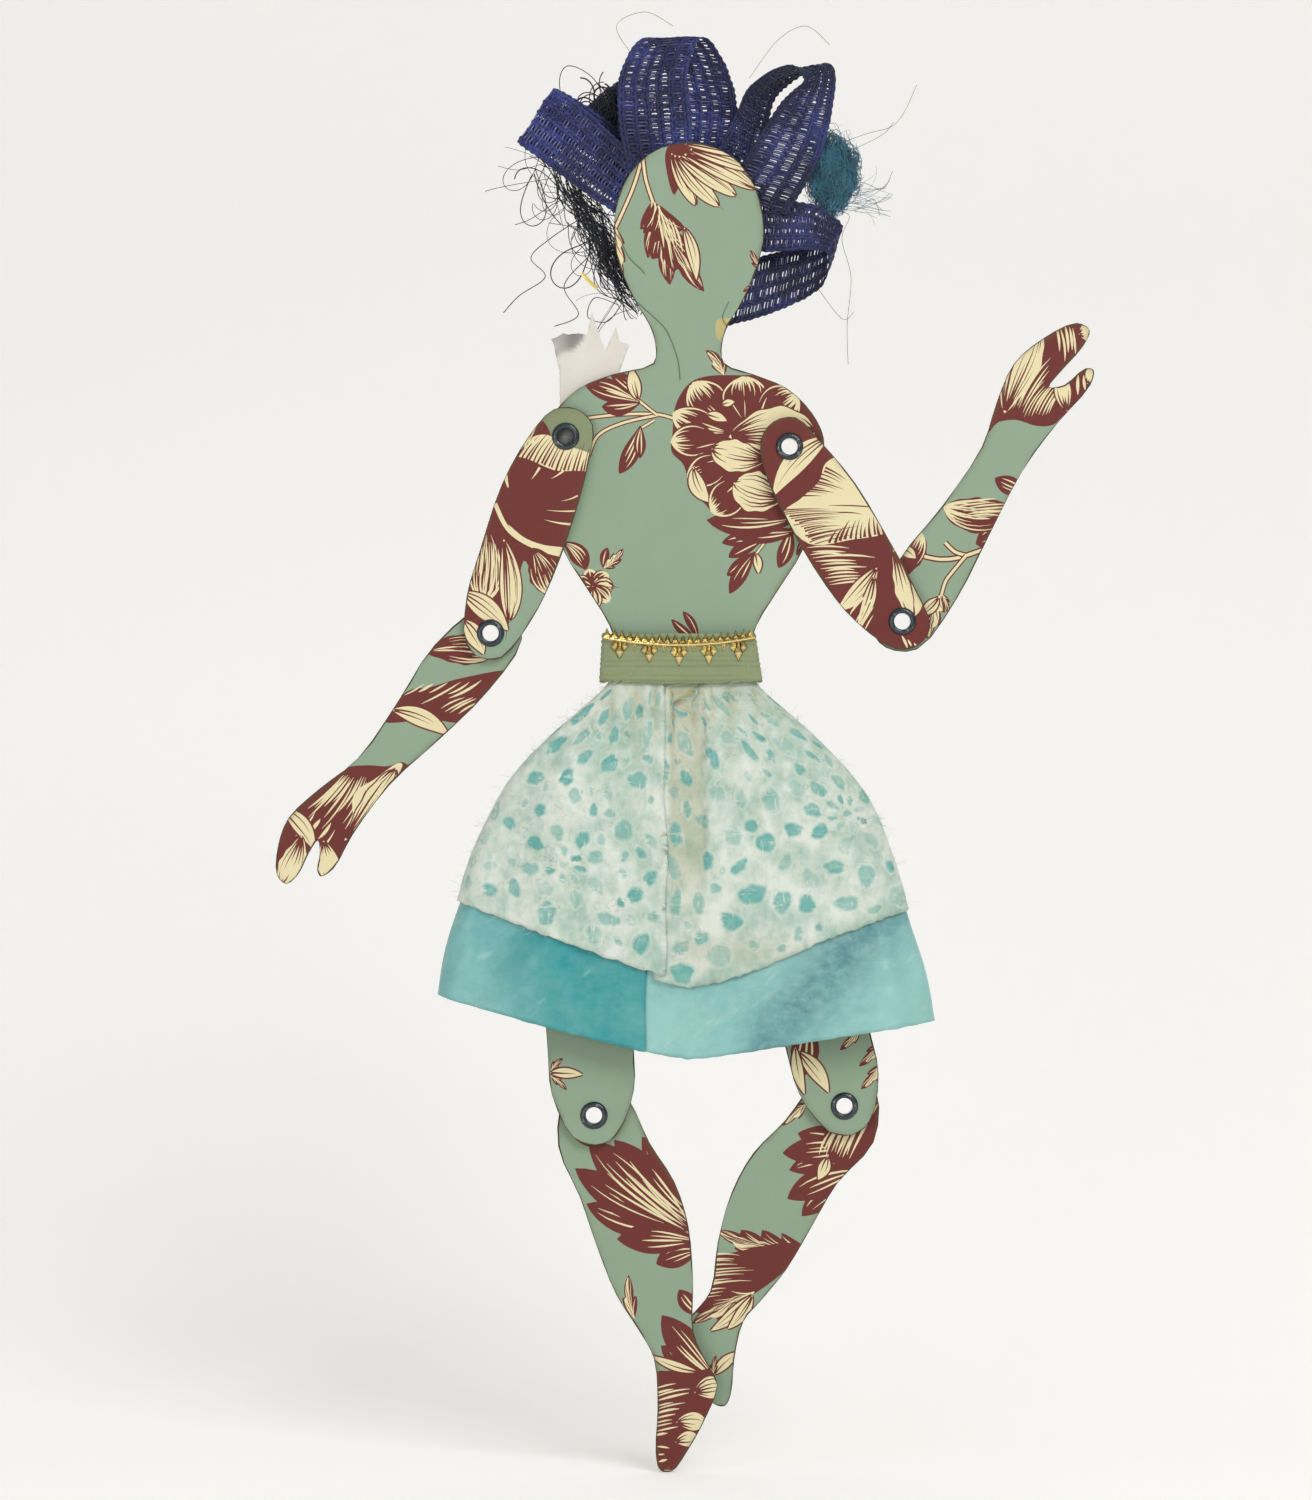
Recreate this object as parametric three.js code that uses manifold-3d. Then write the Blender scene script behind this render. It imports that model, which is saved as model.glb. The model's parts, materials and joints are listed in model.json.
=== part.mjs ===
// Jointed paper doll: boards faced with printed paper, eyelet joints, with paper skirts and ribbon hair.
// Millimetres, +Z up. The doll faces -Y. Left and right are as seen from the front.
// The origin is on the back face of the torso board, at the small of the back.
import * as THREE from 'three';
import { mergeVertices } from 'three/addons/utils/BufferGeometryUtils.js';
import Module from 'manifold-3d';

const wasm = await Module();
wasm.setup();

// Sheet stock
const boardThickness = 1.3;
const paperThickness = 0.2;
const layerGap = 0.3; // air between two boards that turn on each other
const curveSteps = 3; // drawn steps between two outline points

// Torso, head and neck, one board
const head = { width: 31.5, top: 93.9, cheek: 75.5, jaw: 61, jawWidth: 23, offset: 1.2 };
const neck = { width: 14, top: 51.5, base: 47.6 };
const shoulders = { width: 59.2, height: 42.2, tip: 31.5 };
const chest = { width: 50.4, height: 8.5 };
const waist = { width: 26.6, height: -15, ribWidth: 30.8, ribHeight: -7.6 };
const hips = { width: 53, height: -46, base: -58 };

// Pivots on the torso
const pivotInset = { shoulderLeft: 5, shoulderRight: 7.3, hipLeft: 4.9, hipRight: 7.2 }; // from the side
const pivotRise = { shoulderLeft: 0.6, shoulderRight: -1.5, hip: 7.8 }; // above a shoulder tip, the hip base
const shoulderPivot = {
  left: [pivotInset.shoulderLeft - shoulders.width / 2, shoulders.tip + pivotRise.shoulderLeft],
  right: [shoulders.width / 2 - pivotInset.shoulderRight, shoulders.tip + pivotRise.shoulderRight],
};
const hipPivot = {
  left: [pivotInset.hipLeft - hips.width / 2, hips.base + pivotRise.hip],
  right: [hips.width / 2 - pivotInset.hipRight, hips.base + pivotRise.hip],
};

// Limbs: lengths from pivot to pivot, half widths on the outer and inner side
const upperArm = {
  left: { length: 44.1, topRadius: 6.2, outer: 8.9, inner: 8, endRadius: 5.6 },
  right: { length: 43.6, topRadius: 6.2, outer: 7.4, inner: 9.4, endRadius: 6 },
};
const forearm = {
  left: { elbow: 6.4, arm: 7.4, wristAt: 38, wrist: 4.3, palmAt: 57, palm: 7.3, tip: 68.5, thumb: 62 },
  right: { elbow: 6.4, arm: 7.3, wristAt: 40, wrist: 4.9, palmAt: 58.5, palm: 8.3, tip: 73.4, thumb: 66 },
};
const thigh = { length: 60, hipRadius: 7.4, middle: 9.3, knee: 8.6, endRadius: 6.3 };
const shin = {
  left: { kneeRadius: 7.4, calfAt: 27, calf: 14.7, shinSide: 5, ankleAt: 50, toe: 76.5, heel: 14 },
  right: { kneeRadius: 7.4, calfAt: 26, calf: 14.7, shinSide: 3.6, ankleAt: 48, toe: 68.5, heel: 13.4 },
};

// Rest angles in degrees about +Y, each from the piece that carries the limb
const restAngle = {
  shoulder: { left: 20.9, right: -32.8 },
  elbow: { left: 19.4, right: -115.6 },
  hip: { left: -2.8, right: -14.1 },
  knee: { left: -8.8, right: 36.9 },
};

// Eyelets
const eyelet = { bore: 3.4, wall: 0.3, flange: 5.8, flangeHeight: 0.6, roll: 5.2, rollHeight: 0.5 };
const eyeletPlay = 0.15; // radial air between an eyelet's barrel and the holes in the boards
const eyeletSides = 14;
const blindEyelet = 'eyelet_shoulder_left';

// Waistband, gold trim and skirts
const wrapGap = 0.25; // air between two wrapped papers
const squareness = { waist: 0.22, hem: 0.8 }; // of a wrapped section's corners, 1 for an ellipse
const band = { height: 10.4, rise: 5.1, thickness: 0.6, flare: 0.6 };
const bandSides = 40;
const trim = { thickness: 0.3, rail: 0.8, drop: 2.2, sag: 1.4, teeth: 18, toothHeight: 2, inset: 0.8 };
const pendant = { count: 5, width: 2.9, length: 4 };
const skirtTuck = 1.6; // how far the skirts reach up inside the band
const skirt = { puff: 26, puffDepth: 18, puffPower: 1.3, flare: 0.14, depth: 9, depthReach: 25 };
const folds = { count: 9, height: 1.1 };
const underskirt = { thickness: 0.25, sideDrop: 64.7, frontDrop: 77.7, edge: 7.6, tuckedEdge: 15 };
const overskirt = { thickness: 0.3, sideDrop: 46.5, frontDrop: 61.7, edge: 3.6, tuckedEdge: 12 };
const skirtGap = 0.7; // air between the two skirts below the waist
const skirtSteps = { around: 54, down: 9 };

// Hair: ribbon loops glued behind the head, a wad of thread and a tuft of wool.
// A loop's base is a share of the head's half width to the side, and a length below its top.
const ribbon = { thickness: 0.4, seat: 0.3, steps: 26 };
const ribbonLoops = {
  top: { base: [-0.15, 6.9], tilt: -3, reach: 29.4, depth: 6, width: 22.4, pinch: 0.7, roll: 4, lift: 0 },
  left: { base: [-0.58, 12.7], tilt: -51, reach: 31, depth: 5, width: 13.4, pinch: 0.5, roll: 12, lift: 0 },
  back: { base: [-0.46, 6.9], tilt: -38, reach: 20, depth: 4, width: 12, pinch: 0.6, roll: 0, lift: 7.6 },
  right_upper: {
    base: [0.72, 10.9], tilt: 31, reach: 30, depth: 7, width: 13, pinch: 0.8, roll: 45, lift: -0.4,
  },
  right_lower: {
    base: [0.62, 25.9], tilt: 93, reach: 22.6, depth: 6, width: 23, pinch: 0.9, roll: 4, lift: 0,
  },
};
const threadWad = { width: 15, height: 24, depth: 3.2, beside: -3.45, above: -7 }; // from the cheek
const woolTuft = { width: 11.5, height: 15.6, depth: 7, beside: 15.25, above: 10.9, behind: 6 };
const lumpSteps = 3;

// Scrap of cream paper glued behind the left shoulder
const scrap = { thickness: 0.25, width: 16.3, inset: 2, overlap: 5.8, edge: 3.8, crown: 11.4 };
const scrapTips = [16.2, 13]; // heights above the shoulder, as edge and crown

const colours = {
  board: 0x6b5f49,
  print: 0x94af9b,
  eyelet: 0x22323a,
  band: 0x8c916e,
  gold: 0xb98f2f,
  tissue: 0x6ebec3,
  lace: 0xd9ded0,
  ribbon: 0x323064,
  thread: 0x15161b,
  wool: 0x326e82,
  scrap: 0xe6e0cd,
};

const sheetThickness = boardThickness + paperThickness;
const layerPitch = sheetThickness + layerGap;
const boltHole = eyelet.bore / 2 + eyelet.wall + eyeletPlay;
const doll = new THREE.Group();

function material(colour, roughness, metalness = 0) {
  return new THREE.MeshStandardMaterial({ color: colour, roughness, metalness });
}

function addMesh(parent, name, geometry, finish) {
  const mesh = new THREE.Mesh(geometry, finish);
  mesh.name = name;
  parent.add(mesh);
  return mesh;
}

// A smooth closed outline through points given as [x, z].
function smoothOutline(points) {
  const knots = points.map(([x, z]) => new THREE.Vector3(x, z, 0));
  const curve = new THREE.CatmullRomCurve3(knots, true, 'centripetal');
  const drawn = curve.getPoints(points.length * curveSteps).slice(0, -1);
  return drawn.map((point) => new THREE.Vector2(point.x, point.y));
}

function smoothShape(points) {
  return new THREE.Shape(smoothOutline(points));
}

// A round hole for an eyelet's barrel, with its corners outside the barrel's own.
function punch(shape, [x, z]) {
  const corners = [];
  for (let i = 0; i < eyeletSides; i += 1) {
    const turn = 2 * Math.PI * i / eyeletSides;
    corners.push(new THREE.Vector2(x + boltHole * Math.cos(turn), z + boltHole * Math.sin(turn)));
  }
  shape.holes.push(new THREE.Path(corners));
}

// A flat piece in the XZ plane, from its back face at y = back towards the front.
function slab(shape, thickness, back) {
  const geometry = new THREE.ExtrudeGeometry(shape, { depth: thickness, bevelEnabled: false });
  geometry.rotateX(Math.PI / 2);
  geometry.translate(0, back, 0);
  return geometry;
}

// Only positions are kept, so that corners shared by two faces merge into one.
function mergedGeometry(geometry) {
  geometry.deleteAttribute('normal');
  geometry.deleteAttribute('uv');
  return mergeVertices(geometry, 1e-4);
}

function solidOf(geometry) {
  const merged = mergedGeometry(geometry);
  const vertProperties = merged.getAttribute('position').array;
  const triVerts = Uint32Array.from(merged.index.array);
  return new wasm.Manifold(new wasm.Mesh({ numProp: 3, vertProperties, triVerts }));
}

function geometryOf(solid) {
  const { vertProperties, triVerts } = solid.getMesh();
  const geometry = new THREE.BufferGeometry();
  geometry.setAttribute('position', new THREE.BufferAttribute(vertProperties, 3));
  geometry.setIndex(new THREE.BufferAttribute(triVerts, 1));
  return geometry;
}

// A flat piece drawn as one or more fields that meet edge to edge.
function joinedSlab(shapes, thickness, back) {
  const [first, ...others] = shapes.map((shape) => slab(shape, thickness, back));
  if (others.length === 0) {
    return first;
  }
  return geometryOf(others.reduce((solid, field) => solid.add(solidOf(field)), solidOf(first)));
}

// A board with its printed paper on the front.
function facedBoard(parent, name, shapes, back) {
  addMesh(parent, `${name}_board`, joinedSlab(shapes, boardThickness, back), material(colours.board, 0.9));
  const paper = joinedSlab(shapes, paperThickness, back - boardThickness);
  addMesh(parent, `${name}_paper`, paper, material(colours.print, 0.75));
}

// An eyelet through two boards: domed flange in front, barrel, rolled edge behind. A blind one has a floor.
function addEyelet(parent, name, [x, z], back, blind = false) {
  const front = back - sheetThickness - layerPitch;
  const inside = eyelet.bore / 2;
  const barrel = inside + eyelet.wall;
  const rear = back + wrapGap;
  const profile = [
    [barrel, front],
    [barrel, rear],
    [eyelet.roll / 2, rear],
    [eyelet.roll / 2 - eyelet.wall, rear + eyelet.rollHeight],
    [inside, rear + eyelet.rollHeight / 2],
  ];
  if (blind) {
    profile.push([inside, back], [0, back], [0, back - eyelet.wall], [inside, back - eyelet.wall]);
  }
  profile.push(
    [inside, front],
    [inside + eyelet.wall, front - eyelet.flangeHeight],
    [eyelet.flange / 2 - eyelet.wall, front - eyelet.flangeHeight * 0.7],
    [eyelet.flange / 2, front],
    [barrel, front],
  );
  const points = profile.map(([radius, y]) => new THREE.Vector2(radius, y));
  const turned = mergedGeometry(new THREE.LatheGeometry(points, eyeletSides));
  const mesh = addMesh(parent, name, turned, material(colours.eyelet, 0.35, 0.8));
  mesh.position.set(x, 0, z);
}

// A limb that runs down from its pivot: outer and inner half widths between two round ends.
function limbShape(length, topRadius, endRadius, outerAt, innerAt) {
  const slant = Math.SQRT1_2;
  const outerSide = outerAt.map(([share, half]) => [-half, -share * length]);
  const innerSide = innerAt.map(([share, half]) => [half, -share * length]);
  return [
    [0, topRadius],
    [-topRadius * slant, topRadius * slant],
    ...outerSide,
    [-endRadius * slant, -length - endRadius * slant],
    [0, -length - endRadius],
    [endRadius * slant, -length - endRadius * slant],
    ...innerSide.reverse(),
    [topRadius * slant, topRadius * slant],
  ];
}

// Every outline is drawn with the body to its right (+X) and mirrored for the other side.
function sided(points, side) {
  const sign = side === 'left' ? 1 : -1;
  return points.map(([x, z]) => [sign * x, z]);
}

function upperArmShape(side) {
  const { length, topRadius, outer, inner, endRadius } = upperArm[side];
  const outerAt = [[0.06, outer * 0.81], [0.32, outer], [0.66, outer * 0.925], [0.88, outer * 0.83]];
  const innerAt = [[0.06, inner * 0.79], [0.32, inner * 0.955], [0.66, inner], [0.88, inner * 0.87]];
  return sided(limbShape(length, topRadius, endRadius, outerAt, innerAt), side);
}

function forearmShape(side) {
  const { elbow, arm, wristAt, wrist, palmAt, palm, tip, thumb } = forearm[side];
  const slant = Math.SQRT1_2;
  const gapSide = wrist * 0.3;
  return sided([
    [0, elbow],
    [-elbow * slant, elbow * slant],
    [-arm, -wristAt * 0.25],
    [-arm * 0.756, -wristAt * 0.62],
    [-wrist, -wristAt],
    [-palm * 0.87, -wristAt * 0.46 - palmAt * 0.54],
    [-palm, -palmAt],
    [-palm * 0.72, -(palmAt + tip) / 2],
    [-palm * 0.2, -tip * 0.988],
    [gapSide, -tip * 0.991],
    [gapSide * 1.45, -tip * 0.943],
    [gapSide * 0.55, -palmAt * 1.052],
    [gapSide * 0.34, -palmAt * 0.993],
    [gapSide * 2.05, -palmAt * 1.028],
    [wrist, -thumb * 0.99],
    [wrist * 1.35, -thumb],
    [wrist * 1.57, -thumb * 0.953],
    [wrist * 1.22, -palmAt * 0.896],
    [wrist * 1.02, -wristAt],
    [arm * 0.84, -wristAt * 0.62],
    [arm, -wristAt * 0.25],
    [elbow * 0.9, elbow * 0.52],
  ], side);
}

function thighShape(side) {
  const { length, hipRadius, middle, knee, endRadius } = thigh;
  const sideAt = [[0.06, hipRadius * 1.135], [0.4, middle], [0.76, middle * 0.97], [0.92, knee]];
  return sided(limbShape(length, hipRadius, endRadius, sideAt, sideAt), side);
}

function shinShape(side) {
  const { kneeRadius, calfAt, calf, shinSide, ankleAt, toe, heel } = shin[side];
  const slant = Math.SQRT1_2;
  const foot = toe - ankleAt;
  return sided([
    [0, kneeRadius],
    [-kneeRadius * slant, kneeRadius * slant],
    [-kneeRadius * 1.175, -calfAt * 0.18],
    [-shinSide - kneeRadius * 0.19, -calfAt * 0.6],
    [-shinSide, -calfAt],
    [-shinSide * 0.6, -ankleAt * 0.76],
    [heel * 0.03, -ankleAt * 0.94],
    [heel * 0.145, -ankleAt - foot * 0.1],
    [heel * 0.044, -ankleAt - foot * 0.5],
    [-heel * 0.115, -toe + foot * 0.165],
    [-heel * 0.1, -toe + foot * 0.025],
    [heel * 0.072, -toe],
    [heel * 0.32, -toe + foot * 0.11],
    [heel * 0.755, -ankleAt - foot * 0.62],
    [heel, -ankleAt - foot * 0.4],
    [heel * 0.9, -ankleAt - foot * 0.2],
    [heel * 0.805, -ankleAt * 0.98],
    [calf * 0.905, -(calfAt + ankleAt) / 2],
    [calf, -calfAt],
    [calf * 0.932, -calfAt * 0.64],
    [kneeRadius * 1.38, -calfAt * 0.3],
    [kneeRadius * 1.055, calfAt * 0.06],
    [kneeRadius * slant, kneeRadius * slant],
  ], side);
}

// Head, neck, shoulders, waist and hips: one outline, its right side first, then mirrored.
function torsoShape() {
  const headAt = (share, height) => [share * head.width / 2, height];
  const crown = head.top - head.cheek;
  const headSide = [
    headAt(0.54, head.cheek + crown * 0.86),
    headAt(0.88, head.cheek + crown * 0.5),
    headAt(1, head.cheek),
    headAt(0.92, (head.cheek + head.jaw) / 2),
    [head.jawWidth / 2, head.jaw],
    [neck.width * 0.593, head.jaw * 0.44 + neck.top * 0.56],
    [neck.width / 2, neck.top],
    [neck.width * 0.53, neck.base],
  ];
  const bodySide = [
    [shoulders.width * 0.25, neck.base * 0.555 + shoulders.height * 0.445],
    [shoulders.width * 0.37, shoulders.height],
    [shoulders.width * 0.46, (shoulders.height + shoulders.tip) / 2],
    [shoulders.width / 2, shoulders.tip],
    [shoulders.width * 0.486, shoulders.tip * 0.61 + chest.height * 0.39],
    [chest.width / 2, chest.height],
    [(chest.width + waist.ribWidth) / 4, (chest.height + waist.ribHeight) / 2],
    [waist.ribWidth / 2, waist.ribHeight],
    [waist.width / 2, waist.height],
    [waist.width / 2, waist.height * 0.82 + hips.height * 0.18],
    [waist.width * 0.56, waist.height * 0.68 + hips.height * 0.32],
    [(waist.width + hips.width) * 0.2625, waist.height * 0.4 + hips.height * 0.6],
    [hips.width / 2, hips.height],
    [hips.width * 0.48, hips.base * 0.7 + hips.height * 0.3],
    [hips.width * 0.36, hips.base],
  ];
  const onHead = (sign) => headSide.map(([x, z]) => [head.offset + sign * x, z]);
  const onBody = (sign) => bodySide.map(([x, z]) => [sign * x, z]);
  return [
    [head.offset, head.top],
    ...onHead(1),
    ...onBody(1),
    [0, hips.base * 0.88 + hips.height * 0.12],
    ...onBody(-1).reverse(),
    ...onHead(-1).reverse(),
  ];
}

// Torso: two fields that meet at the ribs, so that the small of the back is one plain face.
const torsoBack = 0;
const torsoOutline = smoothOutline(torsoShape());
const onRibs = 1e-6;
const upperTorso = new THREE.Shape(torsoOutline.filter((point) => point.y > waist.ribHeight - onRibs));
const lowerTorso = new THREE.Shape(torsoOutline.filter((point) => point.y < waist.ribHeight + onRibs));
Object.values(shoulderPivot).forEach((pivot) => punch(upperTorso, pivot));
Object.values(hipPivot).forEach((pivot) => punch(lowerTorso, pivot));
facedBoard(doll, 'torso', [upperTorso, lowerTorso], torsoBack);

// A limb joint: a group that turns about Y at the pivot.
function pivotGroup(parent, [x, z], degrees) {
  const group = new THREE.Group();
  group.position.set(x, 0, z);
  group.rotation.y = THREE.MathUtils.degToRad(degrees);
  parent.add(group);
  return group;
}

// A limb of two boards. The upper one lies in front of the lower one, as far back as its layer says.
function addLimb(side, names, pivot, angles, shapes, length, upperBack) {
  const lowerBack = upperBack + layerPitch;
  const upperGroup = pivotGroup(doll, pivot, angles[0]);
  const lowerGroup = pivotGroup(upperGroup, [0, -length], angles[1]);
  const upperOutline = smoothShape(shapes[0]);
  punch(upperOutline, [0, 0]);
  punch(upperOutline, [0, -length]);
  facedBoard(upperGroup, `${names[0]}_${side}`, [upperOutline], upperBack);
  const lowerOutline = smoothShape(shapes[1]);
  punch(lowerOutline, [0, 0]);
  facedBoard(lowerGroup, `${names[1]}_${side}`, [lowerOutline], lowerBack);
  addEyelet(upperGroup, `eyelet_${names[3]}_${side}`, [0, -length], lowerBack);
  const rootName = `eyelet_${names[2]}_${side}`;
  addEyelet(upperGroup, rootName, [0, 0], Math.max(upperBack, torsoBack), rootName === blindEyelet);
}

// Both arms and the left leg hang in front of the torso, the right leg behind it, so the shins can cross.
const armNames = ['upper_arm', 'forearm', 'shoulder', 'elbow'];
const legNames = ['thigh', 'shin', 'hip', 'knee'];
const legBack = { left: -layerPitch, right: layerPitch };
for (const side of ['left', 'right']) {
  const armAngles = [restAngle.shoulder[side], restAngle.elbow[side]];
  const armShapes = [upperArmShape(side), forearmShape(side)];
  addLimb(side, armNames, shoulderPivot[side], armAngles, armShapes, upperArm[side].length, -layerPitch);
  const legAngles = [restAngle.hip[side], restAngle.knee[side]];
  const legShapes = [thighShape(side), shinShape(side)];
  addLimb(side, legNames, hipPivot[side], legAngles, legShapes, thigh.length, legBack[side]);
}

// A thin sheet as a closed solid: two faces half a thickness to each side of a surface, and four edges.
function sheetGeometry(pointAt, uSteps, vSteps, thickness) {
  const step = 1e-4;
  const positions = [];
  const index = [];
  const columns = vSteps + 1;
  const layer = (uSteps + 1) * columns;
  const normalAt = (u, v) => {
    const alongU = pointAt(u + step, v).sub(pointAt(u - step, v));
    const alongV = pointAt(u, v + step).sub(pointAt(u, v - step));
    return alongU.cross(alongV).normalize();
  };
  for (const offset of [thickness / 2, -thickness / 2]) {
    for (let i = 0; i <= uSteps; i += 1) {
      for (let j = 0; j <= vSteps; j += 1) {
        const [u, v] = [i / uSteps, j / vSteps];
        const point = pointAt(u, v).addScaledVector(normalAt(u, v), offset);
        positions.push(point.x, point.y, point.z);
      }
    }
  }
  const quad = (a, b, c, d) => index.push(a, b, c, a, c, d);
  const at = (i, j) => i * columns + j;
  for (let i = 0; i < uSteps; i += 1) {
    for (let j = 0; j < vSteps; j += 1) {
      quad(at(i, j), at(i + 1, j), at(i + 1, j + 1), at(i, j + 1));
      quad(layer + at(i, j), layer + at(i, j + 1), layer + at(i + 1, j + 1), layer + at(i + 1, j));
    }
    quad(at(i, 0), layer + at(i, 0), layer + at(i + 1, 0), at(i + 1, 0));
    quad(at(i, vSteps), at(i + 1, vSteps), layer + at(i + 1, vSteps), layer + at(i, vSteps));
  }
  for (let j = 0; j < vSteps; j += 1) {
    quad(at(0, j), at(0, j + 1), layer + at(0, j + 1), layer + at(0, j));
    quad(at(uSteps, j), layer + at(uSteps, j), layer + at(uSteps, j + 1), at(uSteps, j + 1));
  }
  const geometry = new THREE.BufferGeometry();
  geometry.setAttribute('position', new THREE.Float32BufferAttribute(positions, 3));
  geometry.setIndex(index);
  return geometry;
}

// Depths from the middle of the torso board to each wrapped layer at the waist.
const waistMiddle = torsoBack - sheetThickness / 2;
const wrapPitch = (thickness) => 2 * thickness + 2 * wrapGap;
const underInside = sheetThickness / 2 + wrapGap;
const underWrap = underInside + underskirt.thickness / 2;
const overInside = underInside + wrapPitch(underskirt.thickness);
const overWrap = overInside + overskirt.thickness / 2;
const bandInside = overInside + wrapPitch(overskirt.thickness);
const bandTop = waist.height + band.rise;
const bandBottom = bandTop - band.height;

// A wrapped skirt: a spiral round the waist that puffs out below the band, with folds that grow to the hem.
// Its first row of faces stands straight inside the band.
function skirtPoint(size, wrap, spread, u, v) {
  const tucked = 1 / skirtSteps.down;
  const lowered = Math.max(0, (v - tucked) / (1 - tucked));
  const { frontDrop, sideDrop } = size;
  const flatness = (below) => squareness.hem
    + (squareness.waist - squareness.hem) * Math.exp(-below / skirt.puffDepth);
  const halfWidth = (below) => waist.width / 2 + wrap + skirt.flare * below
    + skirt.puff * (1 - Math.exp(-((below / skirt.puffDepth) ** skirt.puffPower)));
  const halfDepth = (below) => wrap + skirt.depth * (1 - Math.exp(-below / skirt.depthReach));
  const turnAt = (x, below) => Math.asin(Math.min(1, (x / halfWidth(below)) ** (1 / flatness(below))));
  const from = -Math.PI / 2 - turnAt(size.tuckedEdge, lowered * frontDrop);
  const to = 1.5 * Math.PI - turnAt(size.edge, lowered * frontDrop);
  const turn = from + (to - from) * u;
  const front = Math.abs(Math.sin(turn)) ** 1.5;
  const below = lowered * (sideDrop + (frontDrop - sideDrop) * front);
  const height = bandBottom - below + skirtTuck * Math.max(0, 1 - v / tucked);
  const round = (value) => Math.sign(value) * Math.abs(value) ** flatness(below);
  const grown = 1 - Math.exp(-below / skirt.depthReach);
  const wrapped = (size.thickness + wrapGap) * u + spread * grown;
  const folded = folds.height * grown * Math.cos(folds.count * turn);
  const x = (halfWidth(below) + wrapped) * round(Math.cos(turn));
  const y = waistMiddle + (halfDepth(below) + wrapped + folded) * round(Math.sin(turn));
  return new THREE.Vector3(x, y, height);
}

function addSkirt(name, size, wrap, spread, finish) {
  const pointAt = (u, v) => skirtPoint(size, wrap, spread, u, v);
  addMesh(doll, name, sheetGeometry(pointAt, skirtSteps.around, skirtSteps.down, size.thickness), finish);
}

addSkirt('underskirt', underskirt, underWrap, 0, material(colours.tissue, 0.6));
addSkirt('overskirt', overskirt, overWrap, skirtGap, material(colours.lace, 0.9));

// Waistband: a rounded loop round the wrapped skirts, a little wider at its lower edge.
function bandLoop(depth) {
  const round = (value) => Math.sign(value) * Math.abs(value) ** squareness.waist;
  const corners = [];
  for (let i = 0; i < bandSides; i += 1) {
    const turn = 2 * Math.PI * (i + 0.5) / bandSides;
    const x = (waist.width / 2 + depth) * round(Math.cos(turn));
    corners.push(new THREE.Vector2(x, depth * round(Math.sin(turn))));
  }
  return new THREE.Shape(corners);
}
const bandShape = bandLoop(bandInside + band.thickness);
bandShape.holes.push(bandLoop(bandInside));
const bandGeometry = new THREE.ExtrudeGeometry(bandShape, { depth: band.height, bevelEnabled: false });
bandGeometry.translate(0, waistMiddle, bandBottom);
const bandCorners = bandGeometry.getAttribute('position');
for (let i = 0; i < bandCorners.count; i += 1) {
  const lowered = (bandTop - bandCorners.getZ(i)) / band.height;
  bandCorners.setX(i, bandCorners.getX(i) + Math.sign(bandCorners.getX(i)) * band.flare * lowered);
}
addMesh(doll, 'waistband', bandGeometry, material(colours.band, 0.9));

// Gold foil trim: a sagging rail with teeth above and pendants below, flat against the front of the band.
function trimShape() {
  const half = waist.width / 2 + bandInside - trim.inset;
  const railAt = (x) => bandTop - trim.drop - trim.sag * (1 - (x / half) ** 2);
  const pitch = 2 * half / trim.teeth;
  const shape = new THREE.Shape();
  shape.moveTo(-half, railAt(-half));
  for (let i = 0; i < pendant.count; i += 1) {
    const middle = half * (2 * i + 1 - pendant.count) / (pendant.count + 0.4) * 1.02;
    const [from, to] = [middle - pendant.width / 2, middle + pendant.width / 2];
    shape.lineTo(from, railAt(from));
    shape.lineTo(from, railAt(from) - pendant.length * 0.35);
    shape.lineTo(middle, railAt(middle) - pendant.length);
    shape.lineTo(to, railAt(to) - pendant.length * 0.35);
    shape.lineTo(to, railAt(to));
  }
  shape.lineTo(half, railAt(half));
  for (let i = trim.teeth; i > 0; i -= 1) {
    const from = -half + i * pitch;
    shape.lineTo(from, railAt(from) + trim.rail);
    shape.lineTo(from - pitch / 2, railAt(from - pitch / 2) + trim.rail + trim.toothHeight);
  }
  shape.lineTo(-half, railAt(-half) + trim.rail);
  return shape;
}
const bandFront = waistMiddle - bandInside - band.thickness;
addMesh(doll, 'gold_trim', slab(trimShape(), trim.thickness, bandFront), material(colours.gold, 0.3, 1));

// A ribbon loop: out from behind the head, round and back, as shares of the loop's reach and depth.
const loopCourse = new THREE.CatmullRomCurve3([
  new THREE.Vector3(0, 0, 0),
  new THREE.Vector3(0.45, 0.02, 0),
  new THREE.Vector3(0.88, 0.13, 0),
  new THREE.Vector3(1, 0.48, 0),
  new THREE.Vector3(0.88, 0.84, 0),
  new THREE.Vector3(0.45, 0.88, 0),
  new THREE.Vector3(0, 0.42, 0),
], false, 'centripetal');

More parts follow.
